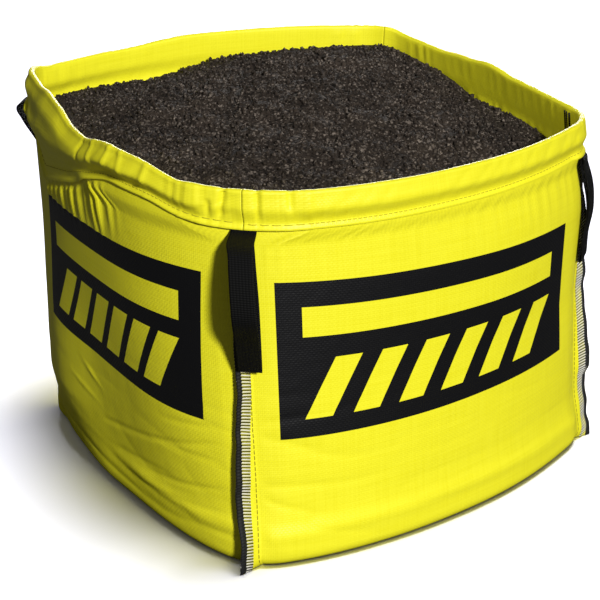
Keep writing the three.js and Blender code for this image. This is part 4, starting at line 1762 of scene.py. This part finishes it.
    def down_the_seam(self) -> tuple[Array, Array]:
        """Steps down a seam.

        Returns:
            Height shares and roll angles from under the hem down to the floor.
        """
        shape = self.shape
        upright, rolled = self.seam_rows
        drop = np.linspace(shape.hem_depth + self.under_hem, shape.wall_height, upright)
        roll = np.linspace(math.pi / 2, self.last_roll, rolled)[1:]
        v = np.concatenate([shape.at_drop(drop), np.zeros(len(roll))])
        return v, np.concatenate([np.full(len(drop), math.pi / 2), roll])

    def edge_chain(self, seam: Seam, rows: SeamRows, run: Array) -> tuple[Array, list]:
        """The dense black chain of thread over the raw edge.

        Args:
            seam: The seam.
            rows: The seam's frame on each row.
            run: The distance along the raw edge at each row.

        Returns:
            The vertices and faces of a closed channel.
        """
        width = np.maximum(rows[3], self.chain_least)
        half = self.shape.cloth + 0.5 * self.shape.clearance + self.chain_gap
        lumps = 0.5 + 0.5 * np.cos(2 * math.pi * run / self.pair_pitch)
        thick = half + mix(*self.chain_thick, lumps)
        low = smooth(rows[0][:, 2], *self.chain_widens)
        inner = 1 - (mix(*self.chain_reach, low) + self.chain_lump * lumps) / width
        tip = 1 + mix(*self.chain_tip, lumps) / width
        outline = (
            (inner, thick), (1.0, thick), (tip, 0.4 * half), (tip, -0.4 * half), (1.0, -thick),
            (inner, -thick), (inner, -half), (1.0, -half), (1.0, half), (inner, half),
        )
        rings = np.stack([seam.point(rows, share, aside) for share, aside in outline], axis=1)
        rings[..., 2] = np.maximum(rings[..., 2], self.floor_gap)
        count, size = rings.shape[:2]
        faces = []
        for ring in range(0, (count - 1) * size, size):
            for i in range(size):
                a, b = ring + i, ring + (i + 1) % size
                faces.append((a, a + size, b + size, b))
        return rings.reshape(-1, 3), faces


@dataclass
class LiftingLoops:
    """A loop of webbing at each corner, tucked under the hem, hanging down and turning back up."""

    shape: BagShape
    width: float = 0.045
    tuck: float = 0.050
    clear: float = 0.020
    drop: float = 0.255
    bight: float = 0.0026
    spring: float = 0.6
    thread: float = 0.0012
    columns: int = 14
    samples: int = 9
    swing_share: float = 0.62
    twist_share: float = 0.3
    edge_samples: int = 31
    edge_ends: Pair = (0.95, 0.05)

    def build(self) -> None:
        """Makes the four loops."""
        finish = RibbedWebbing().material("black_webbing")
        for corner, made in enumerate(CORNERS):
            piece, length = self.loop(corner)
            dress(piece, Slot.WEBBING, finish)
            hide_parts(f"lifting_loop_{made.name}")

    def route(self, corner: int) -> Array:
        """The loop's way down and back up.

        Args:
            corner: The corner's number.

        Returns:
            Rows of drop below the rim and distance out of the corner.
        """
        shape, hang_in = self.shape, CORNERS[corner].loop
        inner = shape.cloth / 2 + 3 * shape.clearance + shape.webbing / 2
        outer = inner + shape.webbing + shape.clearance
        seam_turn = abs(CORNERS[corner].seam_turn + CORNERS[corner].loop_turn)
        turn = math.radians(min(seam_turn, Seam.most_turn))
        edge = shape.seam_allowance + shape.clearance + self.thread
        side = shape.cloth + 1.5 * shape.clearance + self.thread
        hang = edge * math.cos(turn) + side * math.sin(turn) + 3 * shape.clearance + shape.webbing / 2
        hem = shape.hem_depth - hang_in.raised
        foot = hem + self.drop - hang_in.short
        hidden = hem - self.tuck
        clear = hem + self.clear
        bow, knee = hang_in.bow, hang_in.knee
        half_turn = [
            (foot + self.bight * (math.sin(a) - 1), hang + self.bight * (1 + math.cos(a)))
            for a in np.linspace(math.pi, 0.0, 5)
        ]
        return np.array([
            (hidden, inner),
            (hem, inner),
            (clear, hang),
            ((clear + foot) / 2, hang + hang_in.together * bow),
            *half_turn,
            (mix(clear, foot, (1 + knee) / 2), hang + max(2 * self.bight, bow / 2)),
            (mix(clear, foot, knee), hang + bow),
            (clear, hang + self.spring * bow),
            (hem, outer),
            (hidden, outer),
        ])

    def curve(self, points: Array) -> Array:
        """Draws a smooth curve through points.

        Args:
            points: The points, one row each.

        Returns:
            The curve's points, closer together where the given ones are close.
        """
        padded = np.concatenate([2 * points[:1] - points[1:2], points, 2 * points[-1:] - points[-2:-1]])
        knots = run_of(np.linalg.norm(np.diff(padded, axis=0), axis=1) ** 0.5)
        made = []
        for i in range(1, len(padded) - 2):
            t0, t1, t2, t3 = knots[i - 1:i + 3]
            p0, p1, p2, p3 = padded[i - 1:i + 3]
            for t in np.linspace(t1, t2, self.samples, endpoint=False):
                a1 = mix(p0, p1, (t - t0) / (t1 - t0))
                a2 = mix(p1, p2, (t - t1) / (t2 - t1))
                a3 = mix(p2, p3, (t - t2) / (t3 - t2))
                b1 = mix(a1, a2, (t - t0) / (t2 - t0))
                b2 = mix(a2, a3, (t - t1) / (t3 - t1))
                made.append(mix(b1, b2, (t - t1) / (t2 - t1)))
        return np.array([*made, points[-1]])

    def loop(self, corner: int) -> tuple[Piece, float]:
        """Makes one loop.

        Args:
            corner: The corner's number.

        Returns:
            The loop and the length of its webbing.
        """
        shape, hang_in = self.shape, CORNERS[corner].loop
        stops = self.route(corner)
        route = self.curve(stops)
        drop, away = route[:, 0], route[:, 1]
        v = shape.at_drop(drop)
        root, out = shape.ring(corner, Station(Zone.START, 0.5), v)
        along = level_left(out)
        hem = shape.hem_depth - hang_in.raised
        bent = 1 - smooth(drop, hem, hem + self.clear)
        swing = hang_in.swing * smooth(drop, hem, hem + self.swing_share * self.drop)
        swing = swing + hang_in.tilt * np.maximum(away - stops[2, 1], 0.0)
        twist = hang_in.twist * smooth(drop, hem, hem + self.twist_share * self.drop)
        level = turned(along, twist)
        columns = []
        for w in np.linspace(-self.width / 2, self.width / 2, self.columns):
            flat = root + away[:, None] * out + swing[:, None] * along + w * level
            held, way = self.on_corner(corner, v, w)
            columns.append(mix(flat, held + away[:, None] * way, bent[:, None]))
        grid = np.stack(columns, axis=1)
        run = run_of(np.linalg.norm(np.diff(grid, axis=0), axis=-1).mean(axis=1))
        across = np.linspace(0.0, self.width, self.columns)
        uv = np.stack(np.meshgrid(across, run), -1).reshape(-1, 2)
        piece = mesh_object(
            f"webbing_{CORNERS[corner].name}", grid.reshape(-1, 3), grid_faces(*grid.shape[:2]), uv
        )
        apply_modifier(piece, "SOLIDIFY", thickness=shape.webbing, offset=0.0)
        return piece, float(run[-1])

    def on_corner(self, corner: int, v: Array, w: float) -> tuple[Array, Array]:
        """Places on the corner's rounded edge.

        Args:
            corner: The corner's number.
            v: Height shares.
            w: Distance along the edge from the diagonal, towards the side that starts there.

        Returns:
            The points and the directions straight out.
        """
        shape = self.shape
        t = np.linspace(*self.edge_ends, self.edge_samples)
        edge = np.stack([shape.corner_curve(corner, share, v) for share in t], axis=1)
        slope = unit(np.gradient(edge, axis=1) * [1.0, 1.0, 0.0])
        points, ways = [], []
        for row, along in zip(edge, slope):
            run = run_along(row)
            place = w + run[len(t) // 2]
            points.append(sample(place, run, row))
            ways.append(sample(place, run, along))
        return np.array(points), unit(-level_left(np.array(ways)))


@dataclass
class HeapedSoil:
    """Topsoil tipped into the bag: a mound that meets the walls, covered with loose crumb.

    A wave has a height, a length and a direction in degrees, a hollow a side, a place along it, a
    width and a depth, a lump a size, a height and a number, and a skirt step a depth and how much it
    narrows.
    """

    shape: BagShape
    cells: int = 228
    gap: float = 0.0025
    crown: float = 0.060
    waves: tuple[Triple, ...] = (
        (0.004, 0.340, 45.0), (0.003, 0.097, 20.0), (0.003, 0.118, 83.0), (0.003, 0.104, 141.0),
    )
    hollows: tuple[tuple[Side, float, float, float], ...] = (
        (Side.BACK, 0.63, 0.14, 0.020), (Side.RIGHT, 0.53, 0.12, 0.016),
    )
    hollow_pull: float = 0.4
    lumps: tuple[tuple[float, float, int], ...] = ((0.018, 0.0090, 1), (0.007, 0.0060, 2))
    weights: int = 10
    skirts: tuple[Pair, ...] = ((0.030, 0.985), (0.25, 0.95), (0.32, 0.93))
    crumbs: int = 8500
    crumb_sizes: Pair = (0.0022, 0.0060)
    crumb_stretch: Pair = (0.65, 1.25)
    crumb_jitter: Pair = (0.70, 1.20)
    crumb_power: float = 3.0
    crumb_proud: float = 0.35
    crumb_seed: int = 7

    def build(self) -> None:
        """Makes the mound and the loose crumb on it."""
        finish = ScreenedTopsoil().material("screened_topsoil")
        mound = self.mound()
        dress(mound, Slot.SOIL, finish)
        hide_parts("topsoil")
        dress(self.loose_crumb(mound), Slot.SOIL, finish)

    def edge(self, side: Array, s: Array) -> Array:
        """The line where the soil meets the walls.

        Args:
            side: The side of each point.
            s: Places along that side, from -1 to 1.

        Returns:
            The points, a small gap in from the cloth.
        """
        shape = self.shape
        made = np.zeros((len(s), 3))
        for wall in Side:
            here = side == wall
            share = (s[here] + 1) / 2
            drops = [CORNERS[(wall + k) % 4].soil_drop for k in (0, 1)]
            v = shape.at_drop(mix(drops[0], drops[1], share))
            made[here] = self.along_wall(wall, s[here], v)
        centre = made.mean(axis=0)
        inwards = unit((centre - made) * [1.0, 1.0, 0.0])
        return made + self.gap * inwards

    def along_wall(self, wall: int, s: Array, v: Array) -> Array:
        """Points along a wall with its corners rounded.

        Args:
            wall: The wall's number.
            s: Places from -1 at the start corner's diagonal to 1 at the end corner's.
            v: Height shares.

        Returns:
            One point for each place.
        """
        shape = self.shape
        start = shape.round_share(wall, wall, v)
        end = shape.round_share(wall, (wall + 1) % 4, v)
        p = shape.side_point(wall, np.clip(s, -1 + start, 1 - end), v)
        first = shape.corner_curve(wall, np.clip((-1 + start - s) / start / 2, 0.0, 0.5), v)
        last = shape.corner_curve((wall + 1) % 4, np.clip(1 - (s - 1 + end) / end / 2, 0.5, 1.0), v)
        p = np.where((s < -1 + start)[:, None], first, p)
        return np.where((s > 1 - end)[:, None], last, p)

    def uneven(self, p: Array) -> Array:
        """The waves of the tipped soil.

        Args:
            p: Points on the even heap.

        Returns:
            How far the soil stands above or below each point.
        """
        made = np.zeros(len(p))
        for height, length, turn in self.waves:
            way = p[:, 0] * math.cos(math.radians(turn)) + p[:, 1] * math.sin(math.radians(turn))
            made += height * np.cos(2 * math.pi * way / length)
        return made

    def hollow(self, side: Array, s: Array) -> Array:
        """The hollows where soil has slid down the walls.

        Args:
            side: The side of each point.
            s: Places along that side, from -1 to 1.

        Returns:
            How far the soil has slid at each point.
        """
        made = np.zeros(len(s))
        for wall, place, width, depth in self.hollows:
            made += np.where(side == wall, depth * np.exp(-((((s + 1) / 2 - place) / width) ** 2)), 0.0)
        return made

    def mound(self) -> Piece:
        """Shapes the mound from a flat grid.

        Returns:
            The mound, closed underneath.
        """
        bpy.ops.object.select_all(action="DESELECT")
        bpy.ops.mesh.primitive_grid_add(x_subdivisions=self.cells, y_subdivisions=self.cells, size=2.0)
        mound = bpy.context.object
        mound.name = "soil_mound"
        count = len(mound.data.vertices)
        flat = np.zeros(count * 3, np.float32)
        mound.data.vertices.foreach_get("co", flat)
        a, b = flat.reshape(-1, 3)[:, :2].T.astype(float)
        share = np.maximum(np.abs(a), np.abs(b))
        safe = np.maximum(share, TINY)
        side = np.select([b <= -share + 1e-9, a >= share - 1e-9, b >= share - 1e-9], [0, 1, 2], 3)
        s = np.select([side == 0, side == 1, side == 2], [a, b, -a], -b) / safe
        rim = self.edge(side, s)
        middle = rim[share > 1 - TINY].mean(axis=0)
        p = mix(middle, rim, share[:, None])
        p[:, 2] += self.crown * (1 - share**2) + self.uneven(p) * smooth(1 - share, 0.0, 0.1)
        slid = self.hollow(side, s) * share**4
        p[:, 2] -= slid
        p[:, :2] -= (p[:, :2] - middle[:2]) * (self.hollow_pull * slid)[:, None]
        mound.data.vertices.foreach_set("co", p.astype(np.float32).ravel())
        loose = mound.vertex_groups.new(name="loose")
        weight = smooth(1 - share, 0.0, 0.05)
        for level in range(self.weights + 1):
            chosen = np.flatnonzero(np.round(weight * self.weights) == level).tolist()
            loose.add(chosen, level / self.weights, "REPLACE")
        self.skirt(mound)
        for size, height, number in self.lumps:
            texture = bpy.data.textures.new(f"soil_lumps_{number}", "CLOUDS")
            texture.noise_scale = size
            texture.noise_depth = 2
            apply_modifier(
                mound, "DISPLACE", texture=texture, strength=height, mid_level=0.5,
                texture_coords="LOCAL", vertex_group="loose",
            )
        return mound

    def skirt(self, mound: Piece) -> None:
        """Extrudes the mound's edge down inside the bag and closes it underneath.

        Args:
            mound: The mound's upper surface.
        """
        bpy.context.view_layer.objects.active = mound
        bpy.ops.object.mode_set(mode="EDIT")
        bpy.ops.mesh.select_mode(type="EDGE")
        bpy.ops.mesh.select_all(action="DESELECT")
        bpy.ops.mesh.select_non_manifold()
        for depth, narrow in self.skirts:
            bpy.ops.mesh.extrude_region_move(TRANSFORM_OT_translate={"value": (0.0, 0.0, -depth)})
            bpy.ops.transform.resize(value=(narrow, narrow, 1.0), center_override=(0.0, 0.0, 0.0))
        bpy.ops.mesh.edge_face_add()
        bpy.ops.mesh.select_all(action="SELECT")
        bpy.ops.mesh.normals_make_consistent(inside=False)
        bpy.ops.mesh.faces_shade_smooth()
        bpy.ops.object.mode_set(mode="OBJECT")

    def loose_crumb(self, mound: Piece) -> Piece:
        """Scatters loose crumb over the mound.

        Args:
            mound: The finished mound.

        Returns:
            The crumb as one piece, each grain a jittered copy of one small ball.
        """
        bpy.ops.object.select_all(action="DESELECT")
        bpy.ops.mesh.primitive_ico_sphere_add(subdivisions=1, radius=1.0)
        ball = bpy.context.object
        corners = np.array([vertex.co for vertex in ball.data.vertices])
        faces = np.array([face.vertices for face in ball.data.polygons])
        bpy.data.objects.remove(ball)
        made = np.random.default_rng(self.crumb_seed)
        surface = self.cells + 1
        tops = np.zeros(len(mound.data.vertices) * 3, np.float32)
        mound.data.vertices.foreach_get("co", tops)
        tops = tops.reshape(-1, 3)[: surface * surface].reshape(surface, surface, 3)
        inner = tops[2:-2, 2:-2].reshape(-1, 3)
        seat = inner[made.choice(len(inner), self.crumbs, replace=False)]
        low, high = self.crumb_sizes
        size = low + (high - low) * made.random(self.crumbs) ** self.crumb_power
        stretch = made.uniform(*self.crumb_stretch, (self.crumbs, 1, 3))
        jitter = made.uniform(*self.crumb_jitter, (self.crumbs, len(corners), 1))
        grains = corners[None] * stretch * jitter * size[:, None, None]
        grains += seat[:, None, :] + UP * (self.crumb_proud * size)[:, None, None]
        numbers = faces[None] + (np.arange(self.crumbs) * len(corners))[:, None, None]
        return mesh_object("soil_crumb", grains.reshape(-1, 3), numbers.reshape(-1, 3).tolist())


@dataclass(frozen=True)
class Lamp:
    """A distant softbox: where it stands round the bag from the front and how high, in degrees."""

    name: str
    azimuth: float
    elevation: float
    strength: float
    spread: float
    lights: Lit = Lit.BAG

    def build(self) -> Piece:
        """Hangs the lamp.

        Returns:
            The lamp.
        """
        data = bpy.data.lights.new(self.name, "SUN")
        data.energy = self.strength
        data.angle = math.radians(self.spread)
        lamp = bpy.data.objects.new(self.name, data)
        azimuth, height = math.radians(self.azimuth), math.radians(self.elevation)
        level = math.cos(height)
        back = Vector((math.sin(azimuth) * level, -math.cos(azimuth) * level, math.sin(height)))
        lamp.rotation_mode = "QUATERNION"
        lamp.rotation_quaternion = back.to_track_quat("Z", "Y")
        bpy.context.scene.collection.objects.link(lamp)
        return lamp


@dataclass(frozen=True)
class Studio:
    """The pale floor, the soft lights and the camera at the photograph's place."""

    place: Triple = (-2.192, -3.489, 2.136)
    yaw: float = 58.3
    pitch: float = -24.1
    roll: float = -1.11
    lens: float = 133.1
    sensor: float = 36.0
    clip_end: float = 200.0
    lamps: tuple[Lamp, ...] = (
        Lamp("key", -12.0, 28.0, strength=3.50, spread=6.0),
        Lamp("fill", -95.0, 18.0, strength=0.05, spread=60.0),
        Lamp("back", 140.0, 6.0, strength=3.3, spread=30.0),
        Lamp("inner", -100.0, 35.0, strength=0.65, spread=40.0, lights=Lit.INSIDE),
        Lamp("overhead", 72.0, 82.0, strength=2.0, spread=24.0, lights=Lit.FLOOR),
    )
    sky: float = 0.05
    floor_size: float = 60.0
    floor_colour: str = "#585858"
    floor_seen: Triple = (2.05, 2.05, 2.30)

    def build(self) -> None:
        """Sets the stage."""
        self.camera()
        self.world()
        self.floor()
        for lamp in self.lamps:
            state, name = lamp.lights.value
            reached = bpy.data.collections.new(f"{lamp.name}_reaches")
            reached.objects.link(bpy.data.objects[name])
            reached.collection_objects[0].light_linking.link_state = state
            lamp.build().light_linking.receiver_collection = reached
        bpy.context.scene.view_settings.view_transform = "Standard"

    def camera(self) -> None:
        """Puts the camera where the photograph was taken from."""
        turn = Matrix.Identity(4)
        for degrees, axis in ((self.yaw - 90.0, "Z"), (self.pitch + 90.0, "X"), (self.roll, "Z")):
            turn = turn @ Matrix.Rotation(math.radians(degrees), 4, axis)
        data = bpy.data.cameras.new("camera")
        data.lens = self.lens
        data.sensor_width = self.sensor
        data.clip_end = self.clip_end
        camera = bpy.data.objects.new("camera", data)
        camera.matrix_world = Matrix.Translation(self.place) @ turn
        bpy.context.scene.collection.objects.link(camera)
        bpy.context.scene.camera = camera

    def world(self) -> None:
        """Lights the bag softly from all round, and shows white behind it."""
        world = bpy.data.worlds.new("studio")
        world.use_nodes = True
        tree = world.node_tree
        tree.nodes.clear()
        seen = node(tree, "LightPath", out="Is Camera Ray")
        light = node(tree, "Background", {"Color": (1, 1, 1, 1), "Strength": self.sky})
        white = node(tree, "Background", {"Color": (1, 1, 1, 1), "Strength": 1.0})
        both = node(tree, "MixShader", (seen, light, white))
        node(tree, "OutputWorld", (both,))
        bpy.context.scene.world = world

    def floor(self) -> None:
        """Lays a plain pale floor that shows white and keeps the bag's shadow."""
        bpy.ops.object.select_all(action="DESELECT")
        bpy.ops.mesh.primitive_plane_add(size=self.floor_size)
        floor = bpy.context.object
        floor.name = "studio_floor"
        material, tree = new_material("pale_floor")
        seen = node(tree, "LightPath", out="Is Camera Ray")
        dull = node(tree, "BsdfDiffuse", {"Color": linear(self.floor_colour)})
        pale = node(tree, "BsdfDiffuse", {"Color": (*self.floor_seen, 1.0)})
        both = node(tree, "MixShader", (seen, dull, pale))
        node(tree, "OutputMaterial", (both,))
        floor.data.materials.append(material)


def main() -> None:
    """Builds the bag and the stage."""
    shape = BagShape()
    ClothBag(shape).build()
    sewing = Sewing(shape)
    sewing.seam_stitches()
    for corner in range(len(CORNERS)):
        sewing.overlock(corner)
    LiftingLoops(shape).build()
    HeapedSoil(shape).build()
    Studio().build()


if __name__ == "__main__":
    main()
